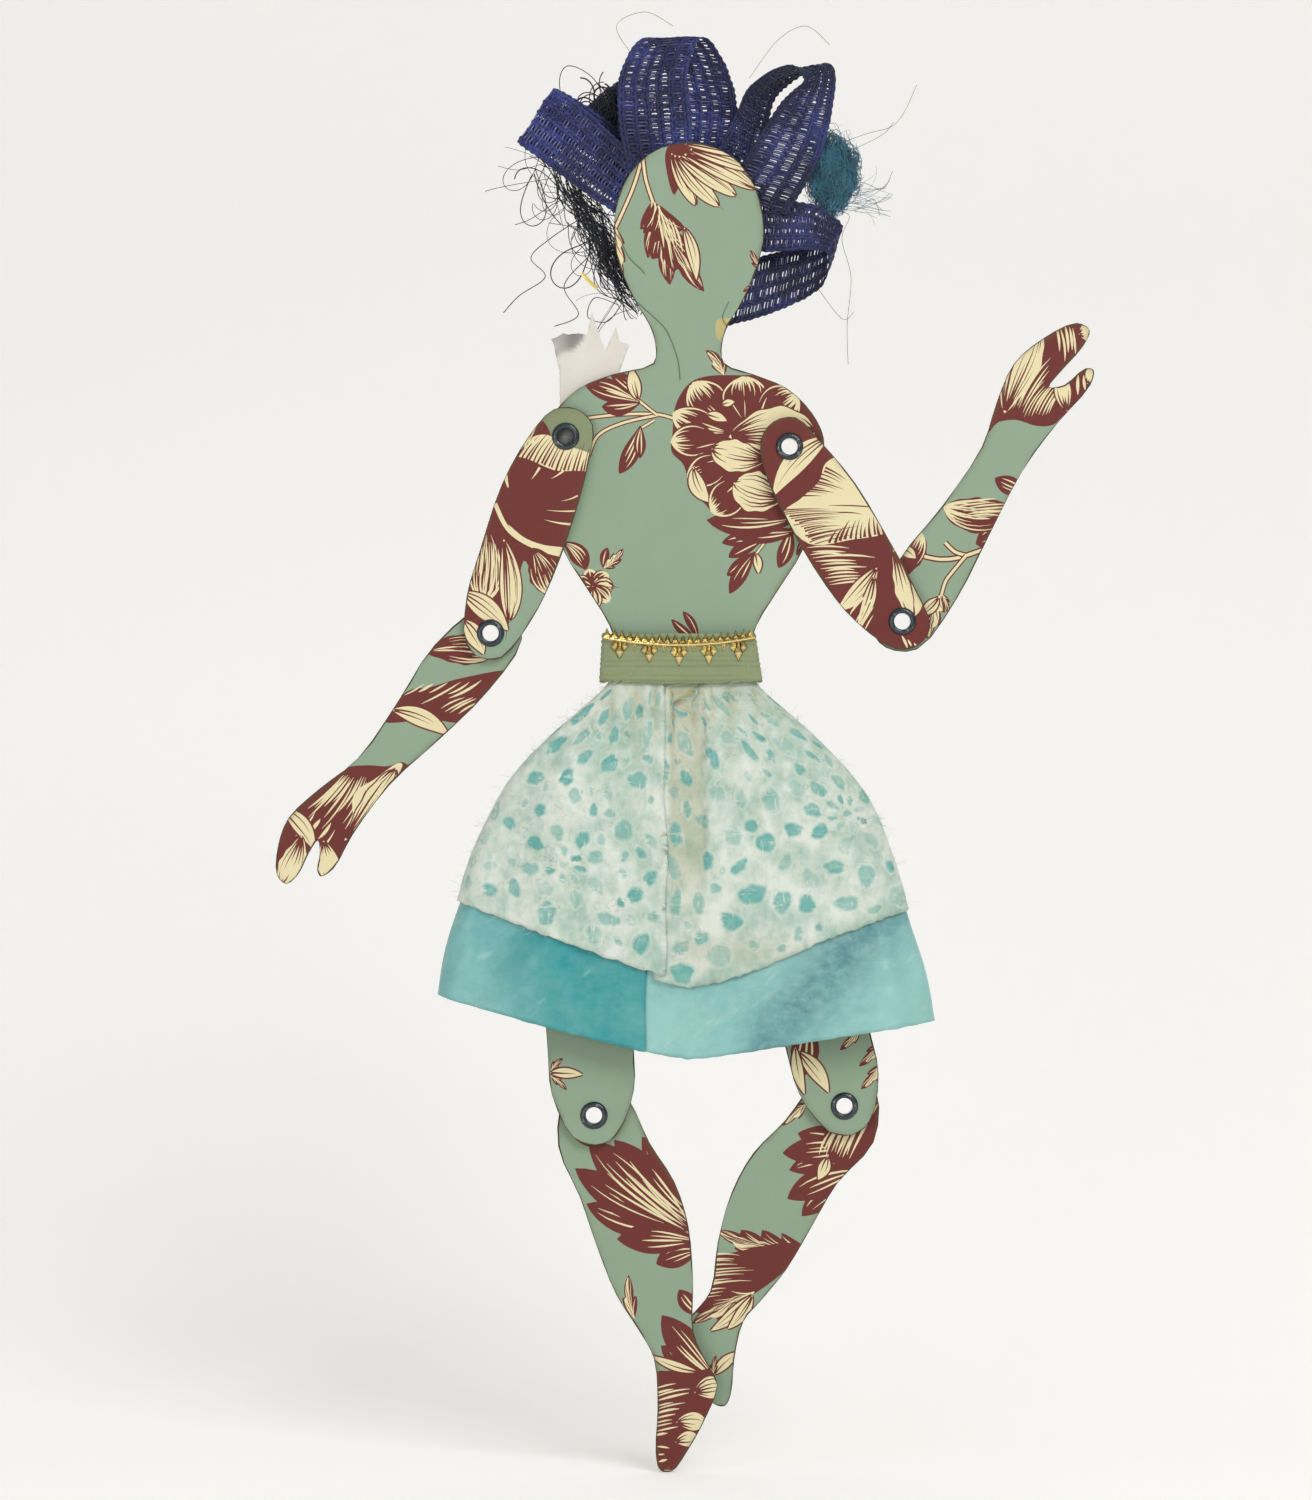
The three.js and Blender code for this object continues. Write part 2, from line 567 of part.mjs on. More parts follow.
function ribbonPoint(size, u, v) {
  const tilt = THREE.MathUtils.degToRad(size.tilt);
  const roll = THREE.MathUtils.degToRad(size.roll);
  const out = new THREE.Vector3(Math.sin(tilt), 0, Math.cos(tilt));
  const aside = new THREE.Vector3(Math.cos(tilt), 0, -Math.sin(tilt));
  const behind = new THREE.Vector3(0, 1, 0);
  const across = aside.clone().multiplyScalar(Math.cos(roll)).addScaledVector(behind, Math.sin(roll));
  const deep = behind.clone().multiplyScalar(Math.cos(roll)).addScaledVector(aside, -Math.sin(roll));
  const at = loopCourse.getPoint(THREE.MathUtils.clamp(u, 0, 1));
  const beyond = u - THREE.MathUtils.clamp(u, 0, 1);
  const width = size.width * (size.pinch + (1 - size.pinch) * Math.sin(Math.PI * at.x / 2));
  const rise = ribbon.seat + ribbon.thickness / 2 + size.lift + Math.abs(Math.sin(roll)) * size.width / 2;
  const [beside, below] = size.base;
  return new THREE.Vector3(head.offset + beside * head.width / 2, torsoBack + rise, head.top - below)
    .addScaledVector(out, (at.x + (u < 0.5 ? beyond : -beyond)) * size.reach)
    .addScaledVector(deep, at.y * size.depth)
    .addScaledVector(across, (v - 0.5) * width);
}

for (const [name, size] of Object.entries(ribbonLoops)) {
  const pointAt = (u, v) => ribbonPoint(size, u, v);
  const geometry = sheetGeometry(pointAt, ribbon.steps, 1, ribbon.thickness);
  addMesh(doll, `hair_ribbon_${name}`, geometry, material(colours.ribbon, 0.8));
}

// A rough lump of fibre: a ball drawn out to three sizes, with shallow hollows.
function lumpGeometry(width, depth, height) {
  const geometry = new THREE.IcosahedronGeometry(0.5, lumpSteps);
  const position = geometry.getAttribute('position');
  const point = new THREE.Vector3();
  for (let i = 0; i < position.count; i += 1) {
    point.fromBufferAttribute(position, i);
    const hollow = 0.9 + 0.1 * Math.sin(9 * point.x + 4 * point.z) * Math.cos(8 * point.z - 5 * point.y);
    point.multiplyScalar(hollow);
    position.setXYZ(i, point.x * width, point.y * depth, point.z * height);
  }
  return mergedGeometry(geometry);
}

const wad = lumpGeometry(threadWad.width, threadWad.depth, threadWad.height);
wad.translate(
  head.offset - head.width / 2 + threadWad.beside,
  torsoBack + ribbon.seat + threadWad.depth / 2,
  head.cheek + threadWad.above,
);
addMesh(doll, 'thread_wad', wad, material(colours.thread, 0.9));

const tuft = lumpGeometry(woolTuft.width, woolTuft.depth, woolTuft.height);
tuft.translate(
  head.offset + head.width / 2 + woolTuft.beside,
  torsoBack + woolTuft.behind,
  head.cheek + woolTuft.above,
);
addMesh(doll, 'wool_tuft', tuft, material(colours.wool, 1));

// Cream scrap with a torn, crown-like upper edge, flat on the back of the torso.
function scrapShape() {
  const left = scrap.inset - shoulders.width / 2;
  const { edge, crown } = scrap;
  const rise = crown - edge;
  const shape = new THREE.Shape();
  const lineTo = (share, above) => shape.lineTo(left + share * scrap.width, shoulders.height + above);
  shape.moveTo(left + 0.11 * scrap.width, shoulders.height - scrap.overlap);
  lineTo(0.72, -scrap.overlap);
  lineTo(0.88, edge);
  lineTo(1, edge + rise * 0.71);
  lineTo(0.87, edge + rise * 0.84);
  lineTo(0.83, scrapTips[1]);
  lineTo(0.69, edge + rise * 0.55);
  lineTo(0.62, crown - rise * 0.05);
  lineTo(0.52, scrapTips[0]);
  lineTo(0.46, crown);
  lineTo(0.15, crown + rise * 0.18);
  lineTo(0, crown - rise * 0.03);
  lineTo(0.1, edge);
  return shape;
}
const scrapBack = torsoBack + scrap.thickness;
addMesh(doll, 'cream_scrap', slab(scrapShape(), scrap.thickness, scrapBack), material(colours.scrap, 0.8));

export default doll;
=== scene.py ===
import json
import math
import random

import bpy
import numpy as np
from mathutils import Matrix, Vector
from mathutils.geometry import delaunay_2d_cdt

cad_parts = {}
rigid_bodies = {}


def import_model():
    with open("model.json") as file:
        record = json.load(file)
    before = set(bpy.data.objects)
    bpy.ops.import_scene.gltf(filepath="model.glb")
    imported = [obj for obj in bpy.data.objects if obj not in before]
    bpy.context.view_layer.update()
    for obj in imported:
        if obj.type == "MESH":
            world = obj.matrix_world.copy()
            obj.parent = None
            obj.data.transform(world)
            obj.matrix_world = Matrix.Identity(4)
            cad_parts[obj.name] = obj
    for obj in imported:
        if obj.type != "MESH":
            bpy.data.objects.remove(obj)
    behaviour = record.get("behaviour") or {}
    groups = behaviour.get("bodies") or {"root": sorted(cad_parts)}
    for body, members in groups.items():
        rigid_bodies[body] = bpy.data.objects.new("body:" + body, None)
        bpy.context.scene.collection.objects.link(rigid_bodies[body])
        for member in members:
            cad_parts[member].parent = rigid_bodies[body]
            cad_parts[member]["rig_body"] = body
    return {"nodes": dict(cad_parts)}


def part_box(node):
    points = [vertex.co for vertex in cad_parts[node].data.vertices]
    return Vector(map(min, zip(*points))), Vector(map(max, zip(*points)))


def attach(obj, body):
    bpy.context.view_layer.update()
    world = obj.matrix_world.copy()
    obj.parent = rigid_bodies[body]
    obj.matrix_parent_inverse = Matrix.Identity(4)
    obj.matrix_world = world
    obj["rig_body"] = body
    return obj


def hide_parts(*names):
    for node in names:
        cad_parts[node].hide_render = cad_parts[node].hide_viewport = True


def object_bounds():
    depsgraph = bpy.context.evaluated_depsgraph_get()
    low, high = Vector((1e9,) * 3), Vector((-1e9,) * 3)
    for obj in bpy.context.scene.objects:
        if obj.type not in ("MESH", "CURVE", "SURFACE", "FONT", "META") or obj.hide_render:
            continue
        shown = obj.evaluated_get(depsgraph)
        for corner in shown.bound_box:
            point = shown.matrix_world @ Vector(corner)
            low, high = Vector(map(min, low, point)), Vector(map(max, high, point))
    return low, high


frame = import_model()
cadLow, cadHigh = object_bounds()
nodes = frame["nodes"]
mm = 0.001  # everything below is drawn in millimetres


# Colours and small helpers

def linear(red, green, blue):  # a colour read, 0 to 255, as a shader takes it
    def channel(value):
        value /= 255
        return value / 12.92 if value <= 0.04045 else ((value + 0.055) / 1.055) ** 2.4
    return channel(red), channel(green), channel(blue), 1.0


def addPiece(name, mesh, materials, replaced=(), body="torso"):
    piece = bpy.data.objects.new(name, mesh)
    bpy.context.scene.collection.objects.link(piece)
    for material in materials:
        mesh.materials.append(material)
    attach(piece, body)
    if replaced:
        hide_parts(*replaced)
    return piece


def meshFrom(name, points, faces, smooth=True, **values):  # points in millimetres, with named values on them
    mesh = bpy.data.meshes.new(name)
    mesh.from_pydata((np.asarray(points) * mm).tolist(), [], [tuple(f) for f in faces])
    mesh.polygons.foreach_set("use_smooth", [smooth] * len(mesh.polygons))
    mesh.update()
    for label, data in values.items():
        layer = mesh.attributes.new(label, "FLOAT", "POINT")
        layer.data.foreach_set("value", np.asarray(data, np.float32))
    return mesh


def smoothstep(low, high, value):
    t = np.clip((value - low) / (high - low), 0, 1)
    return t * t * (3 - 2 * t)


def smoothPath(knots, steps):  # Catmull-Rom through knots
    knots = np.array(knots, float)
    spans = len(knots) - 1
    place = np.linspace(0, spans, steps)
    i = np.minimum(place.astype(int), spans - 1)
    t = (place - i)[:, None]
    a, b = knots[np.clip(i - 1, 0, spans)], knots[i]
    c, d = knots[i + 1], knots[np.clip(i + 2, 0, spans)]
    bend, twist = 2 * a - 5 * b + 4 * c - d, 3 * b - a - 3 * c + d
    return 0.5 * (2 * b + (c - a) * t + bend * t ** 2 + twist * t ** 3)


def unit(vectors):  # each at length 1
    return vectors / np.maximum(np.linalg.norm(vectors, axis=-1, keepdims=True), 1e-9)


def leftOf(way):  # flat directions turned a quarter to the left
    return np.stack([-way[..., 1], way[..., 0]], -1)


def bandLoop(path, half):  # the closed loop half a width either side of a path
    return np.concatenate([path + half, (path - half)[::-1]])


def joined(parts):  # several sets of points and faces as one
    points, faces, shift = [], [], 0
    for ring, made in parts:
        points.append(ring)
        faces += [tuple(i + shift for i in face) for face in made]
        shift += len(ring)
    return np.concatenate(points), faces


def usedOnly(triangles):  # the points in use, and the triangles by their new numbers
    used, numbers = np.unique(triangles, return_inverse=True)
    return used, numbers.reshape(-1, 3).tolist()


def ringFaces(rings, sides, closed=False):  # quads from ring to ring of points, or all the way round
    faces, total = [], rings * sides
    for r in range(rings if closed else rings - 1):
        for i in range(sides):
            a, b = r * sides + i, r * sides + (i + 1) % sides
            faces.append((a, b, (b + sides) % total, (a + sides) % total))
    return faces


# Shader node groups

def newGroup(name, inputs, outputs):  # inputs with their first values, None for a colour
    group = bpy.data.node_groups.new(name, "ShaderNodeTree")
    for label, value in inputs.items():
        kind = "NodeSocketColor" if value is None else "NodeSocketFloat"
        socket = group.interface.new_socket(label, in_out="INPUT", socket_type=kind)
        if value is not None:
            socket.default_value = value
    for label, kind in outputs.items():
        group.interface.new_socket(label, in_out="OUTPUT", socket_type=kind)
    return group, group.nodes.new("NodeGroupInput"), group.nodes.new("NodeGroupOutput")


def addNode(tree, kind, links=(), **settings):
    node = tree.nodes.new(kind)
    for key, value in settings.items():
        setattr(node, key, value)
    for socket, source in dict(links).items():
        target = node.inputs[socket]
        if isinstance(source, bpy.types.NodeSocket):
            tree.links.new(source, target)
        else:
            target.default_value = source
    return node


def maths(tree, operation, *values, clamp=False):
    links = dict(enumerate(values))
    return addNode(tree, "ShaderNodeMath", links, operation=operation, use_clamp=clamp).outputs[0]


def scaled(tree, value, factor, offset=0.0, clamp=False):  # value times factor, plus offset
    return maths(tree, "MULTIPLY_ADD", value, factor, offset, clamp=clamp)


def mixColour(tree, factor, first, second):
    return addNode(tree, "ShaderNodeMix", {0: factor, 6: first, 7: second}, data_type="RGBA").outputs[2]


def feed(node, **sources):  # links to a node's sockets, whose names have spaces for underscores
    for socket, source in sources.items():
        node.id_data.links.new(source, node.inputs[socket.replace("_", " ")])


def objectPlace(tree):
    return addNode(tree, "ShaderNodeTexCoord").outputs["Object"]


def attribute(tree, name):
    return addNode(tree, "ShaderNodeAttribute", attribute_name=name).outputs["Fac"]


def ramp(tree, value, stops):
    node = addNode(tree, "ShaderNodeValToRGB", {"Fac": value})
    band = node.color_ramp
    while len(band.elements) < len(stops):
        band.elements.new(0.5)
    for element, (place, level) in zip(band.elements, stops):
        element.position = place
        element.color = (level, level, level, 1)
    return node.outputs["Color"]


def noise(tree, vector, scale, detail=3.0, roughness=0.55):
    links = {"Vector": vector, "Scale": scale, "Detail": detail, "Roughness": roughness}
    return addNode(tree, "ShaderNodeTexNoise", links).outputs["Fac"]


def stretched(tree, vector, scale):
    return addNode(tree, "ShaderNodeVectorMath", {0: vector, 1: scale}, operation="MULTIPLY").outputs[0]


def paperGrainGroup():  # mottled tone, fine tooth and stray fibres of a paper
    inputs = {"Colour": None, "Mottle": 0.08, "Tooth": 0.05, "Scale": 1.0}
    outputs = {"Colour": "NodeSocketColor", "Height": "NodeSocketFloat", "Roughness": "NodeSocketFloat"}
    group, given, made = newGroup("paperGrain", inputs, outputs)

    def sized(vector, scale):
        links = {0: vector, "Scale": scale}
        return addNode(group, "ShaderNodeVectorMath", links, operation="SCALE").outputs[0]

    place = sized(objectPlace(group), given.outputs["Scale"])
    cloud = noise(group, place, 90.0, 4.0)
    tooth = noise(group, place, 2600.0, 2.0, 0.7)
    fibre = noise(group, stretched(group, place, (3.0, 1.0, 0.35)), 900.0, 2.0, 0.6)
    shade = scaled(group, maths(group, "SUBTRACT", cloud, 0.5), given.outputs["Mottle"], 1.0)
    level = scaled(group, maths(group, "SUBTRACT", tooth, 0.5), given.outputs["Tooth"], shade)
    feed(made, Colour=sized(given.outputs["Colour"], level), Roughness=scaled(group, fibre, 0.16, 0.62),
         Height=scaled(group, tooth, 0.6, scaled(group, fibre, 0.4)))
    return group


def rimWearGroup():  # ink rubbed on from a cut edge, uneven along it
    inputs = {"Colour": None, "Ink": None, "Rim": 0.0, "Strength": 0.8}
    group, given, made = newGroup("rimWear", inputs, {"Colour": "NodeSocketColor"})
    place = objectPlace(group)
    patch = ramp(group, noise(group, place, 70.0, 2.0), [(0.42, 0.0), (0.68, 1.0)])
    grain = noise(group, place, 900.0, 3.0)
    edge = maths(group, "POWER", given.outputs["Rim"], 2.2)
    amount = scaled(group, scaled(group, edge, patch), maths(group, "ADD", grain, 0.35))
    amount = scaled(group, amount, given.outputs["Strength"], clamp=True)
    feed(made, Colour=mixColour(group, amount, given.outputs["Colour"], given.outputs["Ink"]))
    return group


paperGrain = paperGrainGroup()
rimWear = rimWearGroup()


def newMaterial(name, **constants):
    material = bpy.data.materials.new(name)
    material.use_nodes = True
    shader = material.node_tree.nodes["Principled BSDF"]
    for socket, value in constants.items():
        shader.inputs[socket.replace("_", " ")].default_value = value
    return material, material.node_tree, shader


def placeGroup(tree, group, **values):
    return addNode(tree, "ShaderNodeGroup", values, node_tree=group).outputs


def addBump(shader, height, strength, distance):  # distance in millimetres
    links = {"Height": height, "Strength": strength, "Distance": distance * mm}
    feed(shader, Normal=addNode(shader.id_data, "ShaderNodeBump", links).outputs[0])


# Printed paper: a traditional engraved floral in two inks on sage

printInks = {
    "sage": {"colour": linear(147, 168, 143), "mottle": 0.10, "tooth": 0.10},
    "burgundy": {"colour": linear(111, 49, 44), "mottle": 0.16, "tooth": 0.16},
    "cream": {"colour": linear(236, 223, 178), "mottle": 0.08, "tooth": 0.08},
    "edge": {"colour": linear(72, 60, 42), "mottle": 0.4, "tooth": 0.3},
    "ochre": {"colour": linear(192, 180, 122), "mottle": 0.3, "tooth": 0.2},
    "olive": {"colour": linear(136, 146, 110), "mottle": 0.3, "tooth": 0.2},
}
inkOrder = list(printInks)
rimInk = linear(96, 84, 50)
paperEdge = {"ink": 0.2, "unevenness": 0.8, "rub": 1.8}  # inked line along the cut, and how far ink rubs in


def printMaterial(name, ink):
    material, tree, shader = newMaterial("print_" + name, Specular_IOR_Level=0.32)
    grain = placeGroup(tree, paperGrain, Colour=ink["colour"], Mottle=ink["mottle"], Tooth=ink["tooth"])
    worn = placeGroup(tree, rimWear, Colour=grain["Colour"], Ink=rimInk, Rim=attribute(tree, "rim"))
    feed(shader, Base_Color=worn["Colour"], Roughness=grain["Roughness"])
    addBump(shader, grain["Height"], 0.25, 0.05)
    return material


printMaterials = [printMaterial(name, ink) for name, ink in printInks.items()]


engraving = {  # all in millimetres, except the notches between lobes
    "pitch": 0.92, "line": 0.25, "outline": 0.3, "fingerLine": 0.18, "notch": 0.46}


def bowedCourse(start, end, bow):  # a line from start to end, bowed to its left by a share of its length
    start, end = np.array(start, float), np.array(end, float)
    bend = (start + end) / 2 + leftOf(end - start) * bow

    def at(s):
        s = np.asarray(s, float)[..., None]
        return (1 - s) ** 2 * start + 2 * s * (1 - s) * bend + s * s * end

    def side(s):
        s = np.asarray(s, float)[..., None]
        return leftOf(unit((1 - s) * (bend - start) + s * (end - bend)))

    return at, side


def newBlade(start, end, width, bow, full, blunt=0.85, lobes=0, ruffle=0.0):
    at, side = bowedCourse(start, end, bow)

    def reach(s):  # half the blade's width along its length, with lobes that point to the tip
        s = np.clip(np.asarray(s, float), 0, 1)
        plain = np.sin(np.pi * s ** full) ** blunt
        if lobes:
            plain = plain * (1 - engraving["notch"] * (1 - (s * lobes) % 1) ** 1.7)
        return width * plain

    def point(s, t):
        s, t = np.broadcast_arrays(np.asarray(s, float), np.asarray(t, float))
        return at(s) + side(s) * (reach(s) * t)[..., None]

    return {"point": point, "at": at, "side": side, "reach": reach, "lobes": lobes, "ruffle": ruffle}


def bladeOutline(blade, grow, steps):  # with the same number of steps for each lobe where there are lobes
    lobes = blade["lobes"]
    if lobes:
        s = np.concatenate([np.linspace(i, i + 0.999, steps) for i in range(lobes)]) / lobes
    else:
        s = np.linspace(0, 1, steps)
    reach = blade["reach"](s) * (1 + blade["ruffle"] * np.sin(s * 23)) + grow
    return bandLoop(blade["at"](s), blade["side"](s) * reach[:, None])


def taperedStroke(path, width, taper):
    k = np.linspace(0, 1, len(path))
    if taper == "both":
        half = np.sin(np.pi * np.clip(k, 0.02, 0.98)) ** 0.7
    else:  # full at its start and drawn out to a point
        half = np.clip(1 - k, 0.03, 1) ** 0.75
    return bandLoop(path, leftOf(unit(np.gradient(path, axis=0))) * (width * half)[:, None])


def bladeStroke(blade, sFrom, sTo, tFrom, tTo, width, taper="end", steps=5, curl=1.0):
    k = np.linspace(0, 1, steps)
    path = blade["point"](sFrom + (sTo - sFrom) * k, tFrom + (tTo - tFrom) * k ** curl)
    return taperedStroke(path, width, taper)


def leafPrint(rng, start, end, width, bow, lobes, pale):
    # a burgundy leaf with a cream rib and thin cream veins; where pale, one half is cream with burgundy veins
    blade = newBlade(start, end, width, bow, full=0.75, lobes=lobes)
    layers = [(bladeOutline(blade, 0.1, 5), "burgundy")]
    line = engraving["line"] * min(1.0, 0.26 + width / 9)
    veins = 1 + (width > 2.4) + (width > 5)
    for half in (-1, 1):
        light = half > 0 and pale >= 0.4
        if light:
            s = np.concatenate([np.linspace(i + 0.05, i + 0.96, 5) for i in range(lobes)]) / lobes
            rim = blade["point"](s * pale ** 0.3, np.full(len(s), 0.8 * half))
            rib = blade["point"](s[::-1] * pale ** 0.3, np.full(len(s), 0.08 * half))
            layers.append((np.concatenate([rim, rib]), "cream"))
        for i in range(lobes):
            for k in range(veins):
                away = k / veins
                s = max(0.02, (i - 0.55 + 0.75 * away) / lobes * 0.92)
                tip = min(0.95, (i + 0.94 - 0.3 * rng.random()) / lobes)
                bold = line * rng.uniform(0.5, 1.0)
                outer = half * (0.8 - 0.55 * away)
                stroke = bladeStroke(blade, s, tip, half * 0.13, outer, bold, "both", 7, 1.6)
                layers.append((stroke, "burgundy" if light else "cream"))
    layers.append((bladeStroke(blade, 0.0, 0.8, 0, 0, line * 1.2, steps=6), "cream"))
    return layers


def lobePrint(rng, start, end, width, bow, veins):  # a burgundy lobe with thin cream veins along it
    blade = newBlade(start, end, width, bow, full=1.25, blunt=0.8)
    layers = [(bladeOutline(blade, 0.1, 17), "burgundy")]
    for i in range(veins):
        t = -0.7 + 1.4 * (i + 0.5 + rng.uniform(-0.25, 0.25)) / veins
        bold = engraving["line"] * rng.uniform(0.5, 0.95) * min(1.0, 0.5 + width / 5)
        tip, foot = rng.uniform(0.6, 0.9), rng.uniform(0.02, 0.25)
        layers.append((bladeStroke(blade, foot, tip, t * 0.75, t, bold, "both", 8), "cream"))
    return layers


def petalPrint(rng, start, end, width, bow, dark, fill=0.6, full=1.3):
    # a petal widest near its tip: a dark one hatched in cream from its rim, a pale one in burgundy below
    blade = newBlade(start, end, width, bow, full=full, blunt=0.62, ruffle=0.05 * (width > 2.5))
    layers = [(bladeOutline(blade, engraving["outline"], 21), "burgundy")]
    if not dark:
        layers.append((bladeOutline(blade, 0.0, 21), "cream"))
    else:
        s = np.concatenate([np.linspace(0.35, 1, 12), np.linspace(1, 0.35, 12)])
        rim = blade["point"](s, np.repeat([0.9, -0.9], 12))
        layers.append((taperedStroke(rim, 0.2, "both"), "cream"))
    strokes = max(3, int(2 * width / engraving["pitch"] + 0.5))
    for i in range(strokes):
        t = -0.9 + 1.8 * (i + 0.5 + rng.uniform(-0.3, 0.3)) / strokes
        bold = engraving["line"] * rng.uniform(0.6, 1.3)
        if dark:
            inner = 0.97 - fill * rng.uniform(0.2, 0.6)
            layers.append((bladeStroke(blade, 0.98, inner, t, t * 0.8, bold * 1.1, "end"), "cream"))
            if rng.random() < 0.35 * fill:
                layers.append((bladeStroke(blade, 0.12, 0.5, t * 0.6, t * 0.8, bold * 0.6, "both"), "cream"))
        else:
            reach = 0.2 + fill * rng.uniform(0.3, 0.95)
            layers.append((bladeStroke(blade, 0.03, reach, t * 0.9, t, bold, "end"), "burgundy"))
            if rng.random() < 0.6 * fill:
                nick = 0.95 - 0.3 * rng.random()
                layers.append((bladeStroke(blade, 0.99, nick, t, t * 0.95, bold * 0.9, "end", 4), "burgundy"))
    return layers


def fingerPrint(rng, start, end, width, bow):  # a narrow pointed cream leaf with one to three long lines
    blade = newBlade(start, end, width, bow, full=0.9, blunt=0.9)
    layers = [(bladeOutline(blade, grow, 15), ink) for grow, ink in ((0.34, "burgundy"), (0.0, "cream"))]
    lines = 1 + (width > 1.1) + (width > 1.8)
    for i in range(lines):
        t = -0.75 + 1.5 * (i + 0.5 + rng.uniform(-0.2, 0.2)) / lines
        bold = engraving["fingerLine"] * rng.uniform(0.8, 1.3)
        tip = rng.uniform(0.55, 0.92)
        layers.append((bladeStroke(blade, 0.03, tip, t, t * 0.8, bold, "end", 7), "burgundy"))
    return layers


def stemPrint(rng, points, width):  # a cream stem between two burgundy lines, through points
    path = smoothPath(points, 5 * len(points))
    side = leftOf(unit(np.gradient(path, axis=0))) * width
    return [(bandLoop(path, side * share), ink) for share, ink in ((1.0, "burgundy"), (0.5, "cream"))]


def fanPrint(rng, first, last, firstEnd, lastEnd, count, ink, width, taper="both"):
    # tapered strokes from a line first-last to a line firstEnd-lastEnd
    first, last, firstEnd, lastEnd = (np.array(p, float) for p in (first, last, firstEnd, lastEnd))
    layers = []
    apart = np.linalg.norm(last + lastEnd - first - firstEnd) / 2 / count
    width = min(width, 0.33 * apart) if count > 2 else width
    for i in range(count):
        k = (i + 0.5 + rng.uniform(-0.2, 0.2)) / count
        a, b = first + (last - first) * k, firstEnd + (lastEnd - firstEnd) * k
        tail, tip = a + (b - a) * rng.uniform(0, 0.12), a + (b - a) * rng.uniform(0.5, 1.05)
        course = bowedCourse(tail, tip, rng.uniform(0.02, 0.12))[0](np.linspace(0, 1, 6))
        layers.append((taperedStroke(course, width * rng.uniform(0.6, 1.25), taper), ink))
    return layers


def patchPrint(rng, ink, points):  # a smooth closed shape through points
    closed = smoothPath(points[-1:] + points + points[:2], 5 * (len(points) + 2) + 1)
    return [(closed[5:-5], ink)]


painters = {"leaf": leafPrint, "lobe": lobePrint, "petal": petalPrint, "finger": fingerPrint,
            "stem": stemPrint, "fan": fanPrint, "patch": patchPrint}

# Motifs of each limb in the order they are printed, placed as x and z on the doll at rest

